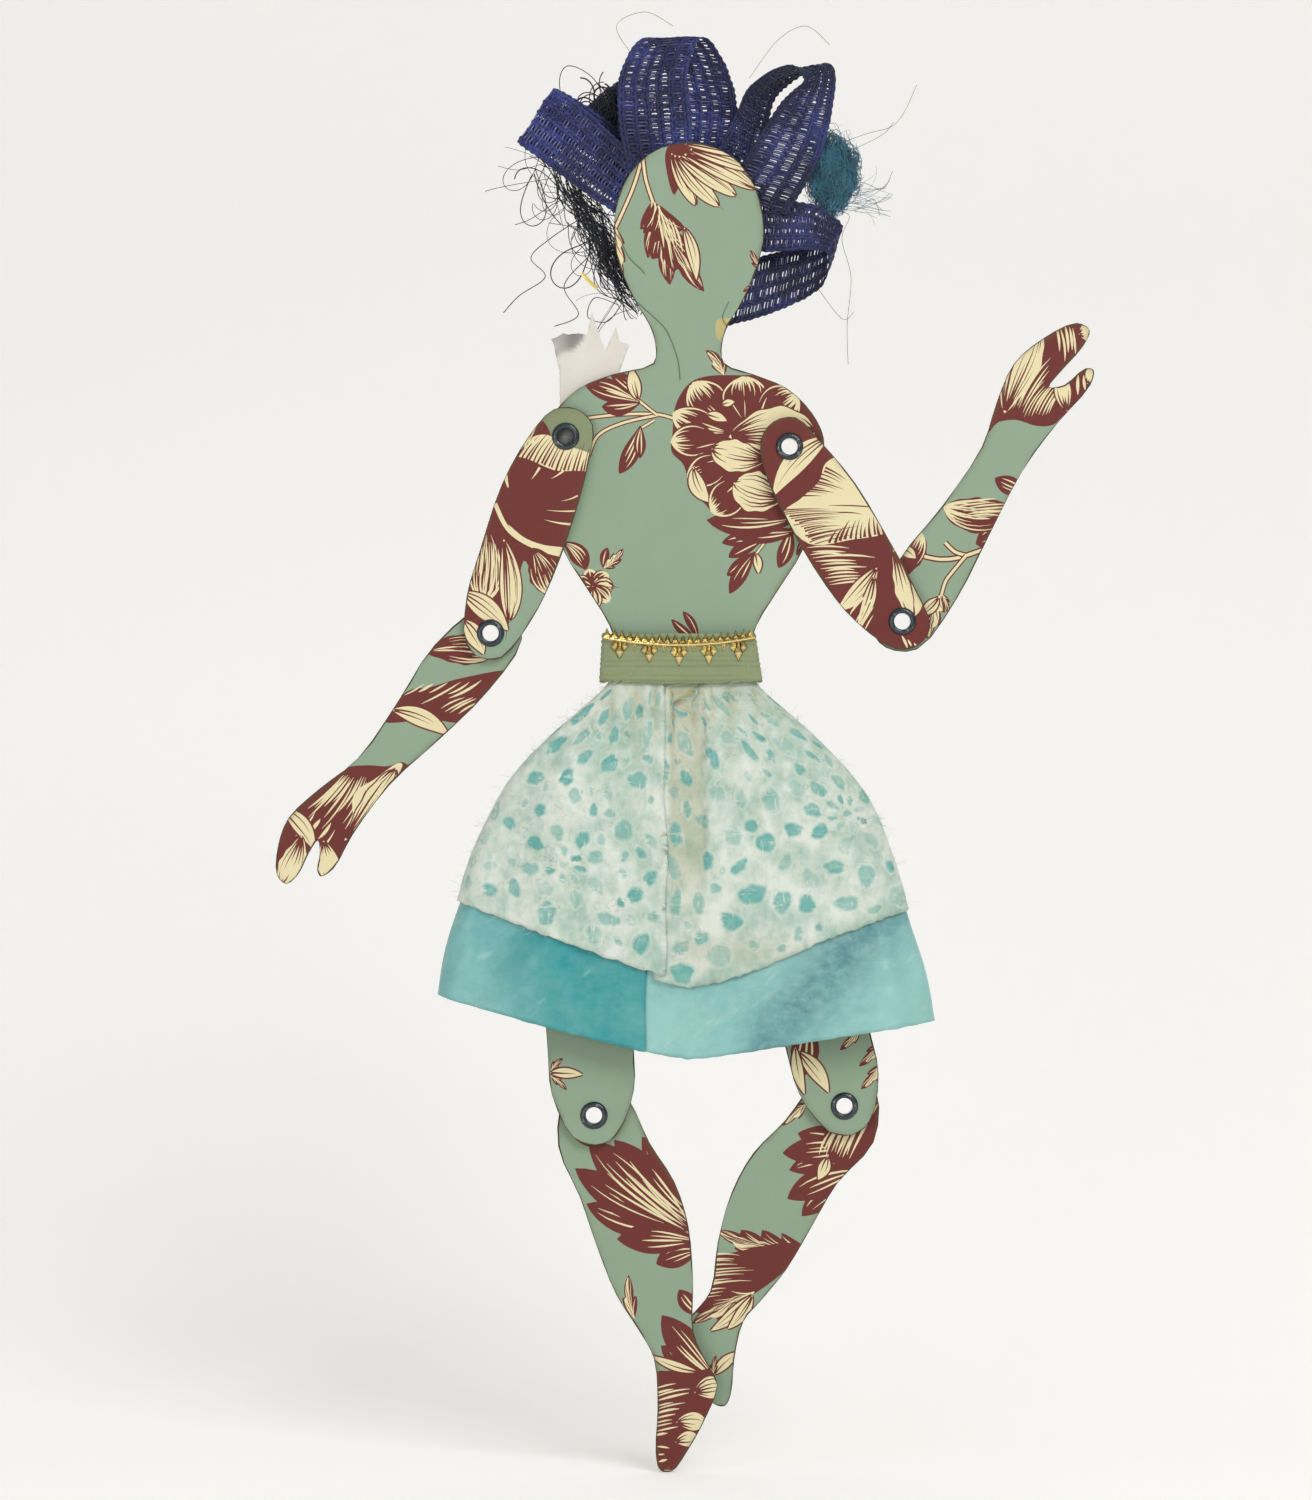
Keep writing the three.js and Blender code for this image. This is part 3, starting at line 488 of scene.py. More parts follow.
limbMotifs = {}
limbMotifs["torso"] = [  # the head first
    ("stem", [(-8.6, 90.5), (-10.6, 84), (-14.6, 75)], 0.55),
    ("stem", [(-8.4, 90.5), (-7.8, 86), (-6.2, 81)], 0.55),
    ("leaf", (-14.4, 76.4), (-12.6, 64.6), 2.1, -0.1, 3, 0.8),
    ("leaf", (-6.6, 81.4), (-7.4, 69.6), 2.6, 0.1, 2, 0.0),
    ("leaf", (-6.0, 81.2), (-2.8, 64), 3.8, 0.04, 3, 0.0),
    ("leaf", (-5.2, 80.6), (4.4, 62.6), 3.7, -0.1, 3, 0.0),
    ("fan", (-5.6, 79.4), (-2.2, 78.4), (-3.4, 67), (1.0, 68.6), 6, "cream", 0.3),
    ("finger", (0.2, 76), (2.8, 65), 1.2, 0.1),
    ("patch", "burgundy", [(-3.6, 92), (-3.4, 87.6), (-2, 82.9), (-0.4, 84.8), (3, 84), (8, 85.4),
        (11, 88), (6, 95), (-1, 95)]),
    ("petal", (-2.4, 91.6), (2.8, 80.6), 1.3, -0.06, False, 1.0, 1.1),
    ("petal", (-1.8, 91.2), (7.6, 80.4), 1.7, -0.06, False, 1.0, 1.1),
    ("petal", (-1.0, 91.0), (11.2, 82.6), 1.6, 0.0, False, 1.0, 1.1),
    ("petal", (0.2, 91.4), (15.4, 84.0), 1.7, 0.06, False, 1.0, 1.1),
    ("petal", (1.4, 92.4), (15.4, 87.8), 1.6, 0.08, False, 1.0, 1.1),
    ("petal", (0.2, 93.6), (13.4, 91.0), 1.5, 0.12, False, 1.0, 1.1),
    ("leaf", (16.6, 67.2), (14.2, 71.2), 1.0, 0.1, 2, 0.3),
    ("leaf", (16, 64.6), (12.6, 62.6), 1.0, 0.1, 2, 0.3),
    ("patch", "ochre", [(7.0, 56.4), (8.6, 57), (10.8, 56.6), (9.2, 54.4), (7.6, 52.4), (6.9, 53.6)]),
    ("leaf", (8.6, 45), (4.8, 50.2), 1.6, -0.2, 2, 0.8),
    ("stem", [(-1.6, 35.8), (-5.5, 36.8), (-12.8, 36.8), (-20.4, 36)], 0.5),
    ("stem", [(-5.5, 36.6), (-12.6, 35), (-17.8, 32.4), (-19.8, 28)], 0.5),
    ("stem", [(-5.6, 36.8), (-7.4, 38.2), (-9.4, 39.8)], 0.45),
    ("lobe", (-9, 39.2), (-17, 38.4), 1.8, 0.1, 2),
    ("lobe", (-9, 39.4), (-20.8, 43.4), 2.3, -0.04, 4),
    ("lobe", (-9.2, 39.8), (-15.4, 45.8), 1.5, -0.12, 3),
    ("finger", (-9.4, 39.8), (-10.8, 46.6), 1.3, 0.06),
    ("stem", [(-6, 35.6), (-9, 33.8)], 0.4),
    ("lobe", (-9, 34.4), (-13.4, 24.4), 1.7, 0.1, 3),
    ("lobe", (-8.8, 34.2), (-9.0, 27.6), 1.2, -0.05, 2),
    ("stem", [(21.6, 14.6), (18.5, 11.6), (14.8, 6.8)], 0.4),
    ("lobe", (17, 10.8), (8.2, 9.8), 1.4, -0.1, 2),
    ("lobe", (16.4, 10), (9.6, 6.8), 1.4, -0.1, 1),
    ("lobe", (15.2, 8), (9.2, 3.0), 1.4, 0.05, 2),
    ("lobe", (15.2, 8), (9.8, -0.8), 1.5, -0.05, 2),
    ("finger", (15.2, 7.6), (15.8, 3.4), 0.8, 0.1),
    ("lobe", (22.6, 13), (20, 4.6), 1.6, 0.1, 2),
    ("leaf", (25, 11), (24, 3.5), 1.2, 0.1, 2, 0.6),
    ("lobe", (-16.8, 4.6), (-15.8, 8.8), 0.9, 0.1, 1),
    ("leaf", (-16.6, 4.6), (-12.6, 8.6), 1.3, -0.15, 3, 0.7),
    ("lobe", (-25.4, 10), (-20.4, 4.2), 1.9, 0.25, 4),
    ("petal", (-19, 0.8), (-19.6, 4.2), 1.6, 0.05, True, 1.4),
    ("petal", (-19, 0.8), (-15.8, 3.2), 1.6, 0.05, True, 1.4),
    ("petal", (-19, 0.8), (-14.6, 0.6), 1.6, 0.05, False, 1.3),
    ("petal", (-19, 0.8), (-15.6, -2.4), 1.6, 0.05, True, 1.4),
    ("petal", (-19, 0.8), (-18.6, -4), 1.5, 0.05, False, 1.3),
    ("petal", (-19, 0.8), (-22.6, 2), 1.5, 0.05, True),
    ("lobe", (3.6, -11), (-2.4, -6.2), 0.9, 0.1, 1),
    ("lobe", (3.2, -10.6), (0, -4.6), 0.9, -0.12, 1),
    ("lobe", (25, 12.6), (9.6, 12.0), 1.8, 0.1, 2),
    ("lobe", (25, 15.4), (5.0, 14.6), 2.8, 0.1, 3),
    ("patch", "burgundy", [(1, 43), (5, 44.8), (12, 45), (20, 44.5), (28, 38), (29, 28), (24, 16),
        (15, 15), (7, 16), (4.6, 18), (1.6, 21), (0.2, 26), (-2.4, 29), (-2.2, 33), (-1.6, 38.6)]),
    ("petal", (10, 35), (2.2, 43.4), 4.4, 0.1, True, 0.7),
    ("petal", (13, 35), (12.5, 44.6), 5.0, -0.05, True, 0.7),
    ("petal", (16, 34), (24, 41), 4.8, 0.1, True, 0.8),
    ("petal", (10, 33), (-2, 37), 3.4, 0.1, True, 0.8),
    ("petal", (8, 31), (-2.4, 31), 3.4, -0.05, True, 1.0),
    ("petal", (10, 28), (1, 23.6), 3.4, 0.1, True, 0.6),
    ("finger", (2.2, 25.6), (5.8, 18.4), 1.6, -0.25),
    ("petal", (13, 24), (6, 16.4), 3.8, 0.1, True, 0.5),
    ("petal", (9.6, 32), (27.6, 32.6), 4.8, 0.14, False, 0.6),
    ("petal", (17.5, 27.4), (6.0, 29.6), 3.3, 0.1, False, 0.6),
    ("petal", (21.5, 19.6), (10.6, 22.4), 4.2, 0.12, False, 0.9),
    ("finger", (5.0, 36.8), (9.2, 35.4), 0.9, 0.1),
    ("finger", (8.2, 38.8), (10.8, 39.4), 0.7, 0.1),
]
limbMotifs["upper_arm_left"] = [
    ("patch", "olive", [(-38, 30), (-33, 40), (-24, 42), (-15, 38), (-16, 28), (-17, 22), (-27, 25),
        (-36, 28)]),
    ("patch", "burgundy", [(-36.4, 26.6), (-34.4, 31.4), (-31.4, 35.4), (-29, 35), (-27.6, 31),
        (-30, 27)]),
    ("patch", "cream", [(-35.4, 27.2), (-32, 31.6), (-28.4, 32.4), (-25.6, 30.4), (-22.6, 29.6),
        (-19.4, 28.4), (-18, 26), (-18, 22.6), (-27, 25)]),
    ("fan", (-35.6, 27.2), (-19.6, 23), (-29.6, 34.6), (-18.6, 29.6), 19, "burgundy", 0.26, "end"),
    ("fan", (-34, 28.6), (-31.6, 30), (-31.6, 34), (-29.6, 34.6), 3, "cream", 0.2),
    ("patch", "burgundy", [(-40, 26), (-34.4, 27.8), (-27, 25), (-18, 22.8), (-18, 4),
        (-27.2, -1.2), (-30.6, 0.8), (-33.4, 6), (-35.4, -4), (-38, -9), (-44, -12), (-50, -2),
        (-47, 16)]),
    ("fan", (-37.6, 26), (-37.4, 23), (-36.9, 21.4), (-36.2, 20.2), 2, "cream", 0.3),
    ("fan", (-34, 26.3), (-20.8, 24.3), (-35.2, 21.7), (-26.5, 22.4), 2, "cream", 0.3, "end"),
    ("fan", (-21.2, 21.5), (-23, 11.2), (-24.5, 19.2), (-34.9, 14), 3, "cream", 0.24, "end"),
    ("stem", [(-39.4, 18), (-36.6, 12.6), (-31.6, 9.2), (-24.4, 7.0)], 0.9),
    ("patch", "cream", [(-36.6, 13.6), (-33.4, 11), (-29.4, 9.4), (-24.4, 8.6), (-24.6, 6.8),
        (-29.8, 8), (-34, 10.4)]),
    ("petal", (-31.6, 8.6), (-27.6, -1), 3.2, 0.1, True, 1.2),
    ("petal", (-41, 13.4), (-41.8, -2.6), 3.9, 0.04, True, 1.3),
    ("fan", (-42.8, 10), (-38.6, 10), (-44.4, -2), (-38.2, -3), 9, "cream", 0.3),
    ("petal", (-37.6, 10.6), (-36.4, -6.6), 2.2, 0.1, False, 1.2),
    ("finger", (-46.4, -0.6), (-36.6, -8.6), 2.2, 0.1),
    ("finger", (-46, -6.4), (-41.8, -13.6), 1.8, 0.1),
]
limbMotifs["upper_arm_right"] = [
    ("patch", "burgundy", [(10, 40), (60, 40), (60, -20), (10, -20)]),
    ("finger", (30.6, 32), (18.8, 19.4), 2.3, -0.18),
    ("patch", "cream", [(30, 26.6), (34.4, 27.4), (42, 19), (43, 12.4), (35, 10.4), (26.4, 9.6),
        (21, 15.6), (24.6, 19), (28.4, 22.6)]),
    ("fan", (20.2, 16.8), (27, 9.2), (33, 17), (38.6, 12), 17, "burgundy", 0.34, "end"),
    ("fan", (23.2, 19.4), (30, 26), (31, 19.5), (35.5, 22.4), 10, "burgundy", 0.36, "end"),
    ("fan", (30, 9.4), (43, 11.4), (33, 14), (41.6, 16), 12, "burgundy", 0.3, "end"),
    ("fan", (30, 18.6), (31, 15.6), (41.6, 18), (42, 15), 2, "burgundy", 0.14),
    ("fan", (25.2, 9), (30.8, 0.6), (39.4, 8.8), (40, 1.6), 12, "cream", 0.28),
    ("finger", (40.6, 4.6), (32, -4.6), 1.9, 0.12),
    ("finger", (40, 2.6), (36.4, -8), 1.2, 0.1),
    ("fan", (33, -4), (38, -10.6), (38.6, 1), (41.8, -3), 5, "cream", 0.22),
    ("petal", (44, 8.4), (48.2, -5.8), 2.9, 0.12, False, 0.9),
    ("fan", (45.4, -9.4), (50, -12), (47, -13), (51.4, -14), 4, "cream", 0.26),
]
limbMotifs["forearm_left"] = [
    ("petal", (-54, -13), (-40, -13.6), 2.9, 0.12, True, 1.2),
    ("patch", "burgundy", [(-63, -27.6), (-58, -21.4), (-53, -20.4), (-46, -18.4), (-36, -17),
        (-38, -22), (-46, -27.6), (-53, -27.2)]),
    ("fan", (-55.5, -19.6), (-40, -18.6), (-61, -22.8), (-51, -24.6), 6, "cream", 0.24),
    ("fan", (-52, -25), (-46, -27), (-44, -21.4), (-40, -23), 5, "cream", 0.24),
    ("finger", (-61, -25.2), (-49, -30.6), 1.8, 0.16),
    ("patch", "burgundy", [(-71, -37.4), (-66, -36.8), (-62, -37), (-58.6, -36.2), (-57, -40),
        (-62, -54), (-74, -66), (-92, -66), (-92, -46), (-79, -41)]),
    ("fan", (-71, -38.4), (-65.6, -39), (-80.6, -47), (-71.6, -52.6), 12, "cream", 0.36),
    ("patch", "cream", [(-68.4, -42), (-64.8, -39.8), (-60, -36.4), (-59.2, -37.8), (-64.6, -45.4),
        (-68.4, -48.4), (-69.4, -45)]),
    ("fan", (-68.6, -48.6), (-60.6, -39.6), (-67, -42.4), (-60.2, -36.8), 8, "burgundy", 0.3, "end"),
    ("petal", (-71, -52.6), (-60.2, -37.6), 2.6, -0.06, False, 0.9),
    ("fan", (-77.6, -45.4), (-72, -50.6), (-83, -52), (-77, -57), 4, "cream", 0.34),
    ("finger", (-84, -46), (-77.4, -54.6), 1.7, 0.2),
    ("petal", (-80, -51.6), (-84.4, -62), 2.7, 0.1, False, 0.7),
    ("petal", (-75.4, -52.6), (-73.6, -61.4), 2.3, 0.0, False, 0.2),
]
limbMotifs["forearm_right"] = [
    ("petal", (46.4, 2.8), (50, 11.8), 2.7, 0.1, True, 0.8),
    ("finger", (45.6, 8.8), (48.8, 6.6), 1.1, 0.1),
    ("stem", [(50.6, 7), (54, 6.4), (58, 6.8), (63.4, 8.6)], 0.66),
    ("stem", [(59.4, 7.2), (57, 8), (55, 9.9)], 0.6),
    ("stem", [(59.4, 7.2), (56.4, 3.6), (55, 1.6), (54, -1.8)], 0.55),
    ("leaf", (53.8, -1.2), (51.2, -10.2), 2.3, -0.06, 3, 0.9),
    ("finger", (53.6, -1.6), (49.6, -5.4), 1.2, 0.1),
    ("leaf", (54.4, -1), (55.6, -4.8), 0.8, 0.1, 2, 0.1),
    ("lobe", (72, 15), (61.4, 9.6), 3.2, 0.05, 3),
    ("petal", (72, 17.2), (54.8, 17.3), 3.4, 0.2, True, 1.0),
    ("fan", (56.4, 18.2), (60, 14.6), (71, 20.2), (68.4, 14.4), 7, "cream", 0.4),
    ("lobe", (72.8, 20.2), (65.4, 23.4), 1.9, 0.05, 3),
    ("patch", "burgundy", [(62, 33.6), (66.2, 35.2), (70, 35.6), (74, 34.4), (77.6, 34.6),
        (80.4, 37), (92, 46), (92, 62), (62, 62)]),
    ("petal", (67.4, 37), (74.6, 55), 3.9, 0.06, False, 1.0),
    ("fan", (68, 37.4), (71.6, 37.6), (76.4, 51), (77.6, 47), 6, "cream", 0.26),
    ("fan", (70.4, 36.2), (77, 36.6), (77, 46), (79.4, 41.5), 9, "cream", 0.26),
    ("fan", (77.4, 56.6), (82.4, 55), (79.2, 45), (83, 48.4), 5, "cream", 0.34),
    ("petal", (83, 53.6), (86.8, 54.6), 2.3, 0.0, False, 0.1),
    ("petal", (80.6, 37.4), (79.6, 44.8), 1.7, 0.1, False, 0.5),
    ("fan", (82.4, 40.4), (84.8, 42), (82.6, 45.4), (84.2, 46.6), 2, "cream", 0.3),
    ("petal", (84.8, 43.2), (86.6, 46.8), 1.4, 0.0, False, 0.1),
]
limbMotifs["thigh_left"] = [
    ("finger", (-27.8, -101.2), (-21, -101.6), 1.0, 0.05),
    ("leaf", (-27.6, -100.6), (-25.2, -98.2), 0.8, 0.1, 2, 0.1),
    ("leaf", (-27.6, -102), (-24.4, -104.8), 0.8, 0.1, 2, 0.3),
]
limbMotifs["thigh_right"] = [
    ("lobe", (27, -90), (25.6, -102), 2.9, -0.1, 3),
    ("finger", (24.2, -97), (30.6, -105.6), 1.6, 0.12),
    ("finger", (23.6, -96), (25.6, -106), 1.1, -0.1),
    ("leaf", (41.4, -95), (37, -100), 1.3, 0.1, 2, 0.4),
    ("leaf", (41.4, -99.6), (37.4, -104.8), 1.3, 0.1, 2, 0.6),
    ("leaf", (37, -92), (33, -96.6), 1.2, 0.1, 2, 0.5),
]
limbMotifs["shin_left"] = [
    ("finger", (-16.6, -116.2), (-23.8, -113), 1.2, 0.1),
    ("finger", (-16.4, -116), (-19.6, -111.6), 0.9, 0.1),
    ("lobe", (4, -136), (-8.6, -114.8), 4.0, -0.08, 4),
    ("lobe", (3, -135.6), (-14.4, -115.4), 3.8, 0.0, 3),
    ("lobe", (1, -134.4), (-20.2, -128.8), 3.2, 0.1, 3),
    ("lobe", (1, -134.4), (-22.6, -121.4), 3.5, 0.06, 3),
    ("lobe", (2, -134.6), (-19.8, -115.6), 4.4, 0.03, 4),
    ("fan", (1.4, -134.6), (2.2, -131.4), (-15, -121.4), (-9.6, -117.4), 6, "cream", 0.36),
    ("fan", (1.4, -134.8), (0.4, -134.4), (-16.6, -125.4), (-16, -121.4), 2, "cream", 0.3),
    ("lobe", (4, -138.4), (-5.6, -141.4), 2.4, -0.08, 3),
    ("lobe", (4, -136.8), (-13.8, -136.2), 3.2, -0.05, 4),
    ("leaf", (-10.2, -152.8), (-11.4, -143.8), 1.5, 0.1, 2, 0.9),
    ("lobe", (4, -152.4), (-0.8, -146.8), 1.8, 0.1, 2),
    ("lobe", (7.4, -166), (-4.6, -158.6), 2.5, 0.05, 3),
    ("lobe", (7.6, -166), (-4.4, -152.2), 3.3, 0.05, 4),
    ("finger", (3, -164), (-6.8, -160.6), 0.9, 0.08),
    ("patch", "burgundy", [(-7, -166.8), (-3, -163.8), (1, -164.6), (4, -163.6), (10, -165),
        (10, -190), (-9, -190)]),
    ("fan", (-6.6, -167.4), (-6.2, -178), (1.8, -165.2), (-1.2, -177), 12, "cream", 0.24),
    ("petal", (2.4, -168.4), (8.4, -167), 2.3, 0.1, False, 0.8),
    ("petal", (-1.4, -174.6), (4.8, -174.8), 1.9, 0.1, False, 0.8),
    ("petal", (-1.6, -178.8), (3.2, -178), 1.6, 0.1, False, 0.7),
    ("fan", (-5.6, -179), (-5, -184), (-2.4, -179.6), (-2.8, -183), 3, "cream", 0.24),
    ("petal", (-3, -184), (-3, -187.4), 1.7, 0.0, False, 0.1),
]
limbMotifs["shin_right"] = [
    ("leaf", (26, -108), (21, -112.6), 1.6, -0.1, 2, 0.7),
    ("lobe", (39, -115.4), (24.2, -114.2), 2.9, 0.12, 3),
    ("lobe", (39, -118.4), (22.4, -122), 2.6, -0.06, 3),
    ("lobe", (39, -116.8), (21.0, -118.4), 3.0, 0.0, 4),
    ("patch", "burgundy", [(30, -113), (36, -110), (43, -108), (43, -120), (36, -122), (31, -119.6)]),
    ("fan", (28.4, -118.6), (35, -120), (31.6, -111.8), (42.4, -106), 10, "cream", 0.36),
    ("lobe", (38, -121), (26.4, -124.2), 2.6, 0.1, 2),
    ("lobe", (36, -124), (25, -131.6), 2.3, -0.1, 2),
    ("lobe", (38, -121.8), (22.0, -128), 3.0, -0.08, 3),
    ("finger", (30.4, -119.2), (28.4, -124), 1.2, 0.1),
    ("leaf", (25.4, -138), (7.2, -134.6), 3.3, 0.16, 4, 0.9),
    ("patch", "burgundy", [(25.6, -138), (20, -137.4), (10, -139.4), (2, -141), (1, -151),
        (8, -151.4), (15, -148), (21.6, -143)]),
    ("fan", (4.6, -139.6), (1.4, -150), (17.4, -139.4), (13, -147.6), 13, "cream", 0.3, "end"),
    ("leaf", (15, -147.6), (2.0, -154.2), 2.6, -0.06, 3, 0.9),
    ("finger", (14.6, -148.2), (5.8, -155.8), 1.3, 0.1),
    ("finger", (14.6, -148.4), (9.4, -155.4), 1.2, 0.12),
    ("finger", (6.6, -165), (11.8, -160.2), 1.1, 0.1),
    ("leaf", (6.4, -165), (7, -161), 0.8, 0.1, 2, 0.1),
]


def frontLoops(node):
    # corner loops of a paper's front face, in millimetres: its outline first, then its holes
    mesh = nodes[node].data
    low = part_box(node)[0]
    front = {}
    for face in mesh.polygons:
        corners = [mesh.vertices[i].co for i in face.vertices]
        if all(abs(c.y - low.y) < 1e-6 for c in corners):
            keys = [(round(c.x / mm, 4), round(c.z / mm, 4)) for c in corners]
            for a, b in zip(keys, keys[1:] + keys[:1]):
                edge = (min(a, b), max(a, b))
                front[edge] = front.get(edge, 0) + 1
    links = {}
    for (a, b), uses in front.items():
        if uses == 1:
            links.setdefault(a, []).append(b)
            links.setdefault(b, []).append(a)
    loops = []
    while links:
        first = next(iter(links))
        loop, here, last = [first], links[first][0], first
        while here != first:
            loop.append(here)
            step = [p for p in links[here] if p != last]
            last, here = here, step[0]
        for corner in loop:
            del links[corner]
        loops.append(np.array(loop))
    loops.sort(key=lambda c: np.ptp(c[:, 0]) * np.ptp(c[:, 1]), reverse=True)
    return loops, low.y / mm


def loopDistance(points, loop):
    a, b = loop, np.roll(loop, -1, axis=0)
    best = np.full(len(points), 1e9)
    for start, way in zip(a, b - a):
        along = np.clip((points - start) @ way / max(way @ way, 1e-12), 0, 1)
        best = np.minimum(best, np.linalg.norm(points - start - along[:, None] * way, axis=1))
    return best


def loopArea(loop):
    return np.sum(loop[:, 0] * np.roll(loop[:, 1], -1) - np.roll(loop[:, 0], -1) * loop[:, 1]) / 2


def insetLoop(rng, loop, depth, unevenness):
    way = unit(np.roll(loop, -1, axis=0) - np.roll(loop, 1, axis=0))
    inward = leftOf(way) * np.sign(loopArea(loop))
    amount = [depth * (1 + unevenness * rng.uniform(-1, 1)) for _ in loop]
    return loop + inward * np.array(amount)[:, None]


def insideLoop(points, loop):  # by winding, so that a stroke may cross itself
    x, z = points[:, 0], points[:, 1]
    turns = np.zeros(len(points), int)
    for a, b in zip(loop, np.roll(loop, -1, axis=0)):
        side = (b[0] - a[0]) * (z - a[1]) - (x - a[0]) * (b[1] - a[1])
        turns += ((a[1] <= z) & (b[1] > z) & (side > 0)).astype(int)
        turns -= ((a[1] > z) & (b[1] <= z) & (side < 0)).astype(int)
    return turns != 0


def cutPattern(loops, spots=()):  # triangles with every loop's lines as edges, and the middle of each
    corners = [Vector(c) for loop in loops for c in loop] + [Vector(c) for c in spots]
    edges, count = [], 0
    for loop in loops:
        edges += [(count + i, count + (i + 1) % len(loop)) for i in range(len(loop))]
        count += len(loop)
    points, _, triangles, _, _, _ = delaunay_2d_cdt(corners, edges, [], 0, 1e-4)
    points = np.array([tuple(p) for p in points])
    triangles = np.array(triangles)
    return points, triangles, points[triangles].mean(axis=1)


def coveredBy(middles, loop):
    low, high = loop.min(axis=0), loop.max(axis=0)
    near = np.where(np.all((middles >= low) & (middles <= high), axis=1))[0]
    return near[insideLoop(middles[near], loop)]


def printedPaper(name, motifs, rng):
    node = name + "_paper"
    loops, front = frontLoops(node)
    outline, holes = loops[0], loops[1:]
    inked = insetLoop(rng, outline, paperEdge["ink"], paperEdge["unevenness"])
    rubbed = insetLoop(rng, outline, paperEdge["rub"], 0.0)
    low, high = outline.min(axis=0), outline.max(axis=0)
    motifs = [(p, ink) for p, ink in motifs if np.all(p.max(axis=0) > low) and np.all(p.min(axis=0) < high)]
    points, triangles, middles = cutPattern([outline, inked, rubbed] + [p for p, _ in motifs] + holes)
    slots = np.full(len(triangles), -1)
    slots[coveredBy(middles, outline)] = inkOrder.index("edge")
    slots[coveredBy(middles, inked)] = inkOrder.index("sage")
    onPaper = slots == inkOrder.index("sage")
    for polygon, ink in motifs:
        covered = coveredBy(middles, polygon)
        slots[covered[onPaper[covered]]] = inkOrder.index(ink)
    for hole in holes:
        slots[coveredBy(middles, hole)] = -1
    kept = slots >= 0
    mesh = sheetWithRim(name, points, triangles[kept], slots[kept].tolist(), front, outline)
    body = nodes[node]["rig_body"]
    return addPiece("printed_" + name, mesh, printMaterials, [node], body)


def sheetWithRim(name, points, triangles, slots, front, outline):
    # the printed face, its cut edge down to the board, and a rim value that falls off from the edge
    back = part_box(name + "_paper")[1].y / mm
    used, faces = usedOnly(triangles)
    corners = [(x, front, z) for x, z in points[used]]
    sides = dict.fromkeys((a, b) for face in faces for a, b in zip(face, face[1:] + face[:1]))
    rimEdges = [side for side in sides if side[::-1] not in sides]
    behind = {}
    for i in sorted({i for edge in rimEdges for i in edge}):
        behind[i] = len(corners)
        corners.append((corners[i][0], back, corners[i][2]))
    faces += [(b, a, behind[a], behind[b]) for a, b in rimEdges]
    distance = loopDistance(np.array(corners)[:, ::2], outline)
    rim = np.clip(1 - distance / paperEdge["rub"], 0, 1)
    mesh = meshFrom(name, corners, faces, False, rim=rim)
    mesh.polygons.foreach_set("material_index", slots + [inkOrder.index("edge")] * len(rimEdges))
    return mesh


def makePapers():
    rng = random.Random(11)
    faces = 0
    for name, motifs in limbMotifs.items():
        layers = []
        for kind, *settings in motifs:
            layers += painters[kind](rng, *settings)
        faces += len(printedPaper(name, layers, rng).data.polygons)
    print("printed papers", len(limbMotifs), "with", faces, "faces")


makePapers()


# Boards keep their solids: grey chipboard with inked cut edges

board = {"face": linear(158, 143, 116), "edge": linear(84, 70, 48), "fleck": linear(92, 80, 62)}


def boardMaterial():
    material, tree, shader = newMaterial("chipboard", Roughness=0.88, Specular_IOR_Level=0.25)
    place = objectPlace(tree)
    grain = placeGroup(tree, paperGrain, Colour=board["face"], Mottle=0.3, Tooth=0.4, Scale=0.7)
    flecks = ramp(tree, noise(tree, place, 1500.0, 2.0), [(0.62, 0.0), (0.72, 1.0)])
    speckled = mixColour(tree, flecks, grain["Colour"], board["fleck"])
    facing = addNode(tree, "ShaderNodeNewGeometry").outputs["Normal"]
    depth = addNode(tree, "ShaderNodeSeparateXYZ", {0: facing}).outputs["Y"]
    onEdge = maths(tree, "LESS_THAN", maths(tree, "ABSOLUTE", depth), 0.7)
    patchy = ramp(tree, noise(tree, place, 160.0, 3.0), [(0.3, 0.45), (0.6, 1.0)])
    feed(shader, Base_Color=mixColour(tree, scaled(tree, onEdge, patchy), speckled, board["edge"]))
    addBump(shader, grain["Height"], 0.4, 0.08)
    return material


def dressBoards():
    chipboard = boardMaterial()
    boards = [node for name, node in nodes.items() if name.endswith("_board")]
    for node in boards:
        node.data.materials.clear()
        node.data.materials.append(chipboard)
    print("boards", len(boards))


dressBoards()


# Eyelets: enamelled brass, worn to the metal on the rolled rim

eyelet = {"bore": 1.7, "flange": 2.9, "dome": 0.6, "roll": 2.6, "barrel": 2.0, "rolled": 0.5, "sides": 48,
          "enamel": linear(14, 24, 30), "cloud": linear(34, 52, 60), "worn": linear(120, 126, 122),
          "floor": linear(196, 196, 192), "scuff": linear(136, 138, 138),
          "floorRings": [(1.0, -0.1), (0.7, -0.34), (0.35, -0.46)], "floorTop": -0.5}
eyeletProfile = [  # each ring's radius and what is added to it, then its end and what is added to that
    ("barrel", 0, "front", 0), ("barrel", 0, "rear", 0), ("roll", 0, "rear", 0),
    ("roll", -0.04, "rear", 0.26), ("roll", -0.3, "rear", 0.46), ("bore", 0.3, "rear", 0.44),
    ("bore", 0.04, "rear", 0.2), ("bore", 0, "rear", -0.2), ("bore", 0, "front", -0.1),
    ("bore", 0.05, "front", -0.36), ("bore", 0.22, "front", -0.54), ("bore", 0.5, "front", -0.6),
    ("bore", 0.8, "front", -0.52), ("flange", -0.14, "front", -0.3), ("flange", 0, "front", -0.06),
    ("flange", 0, "front", 0),
]


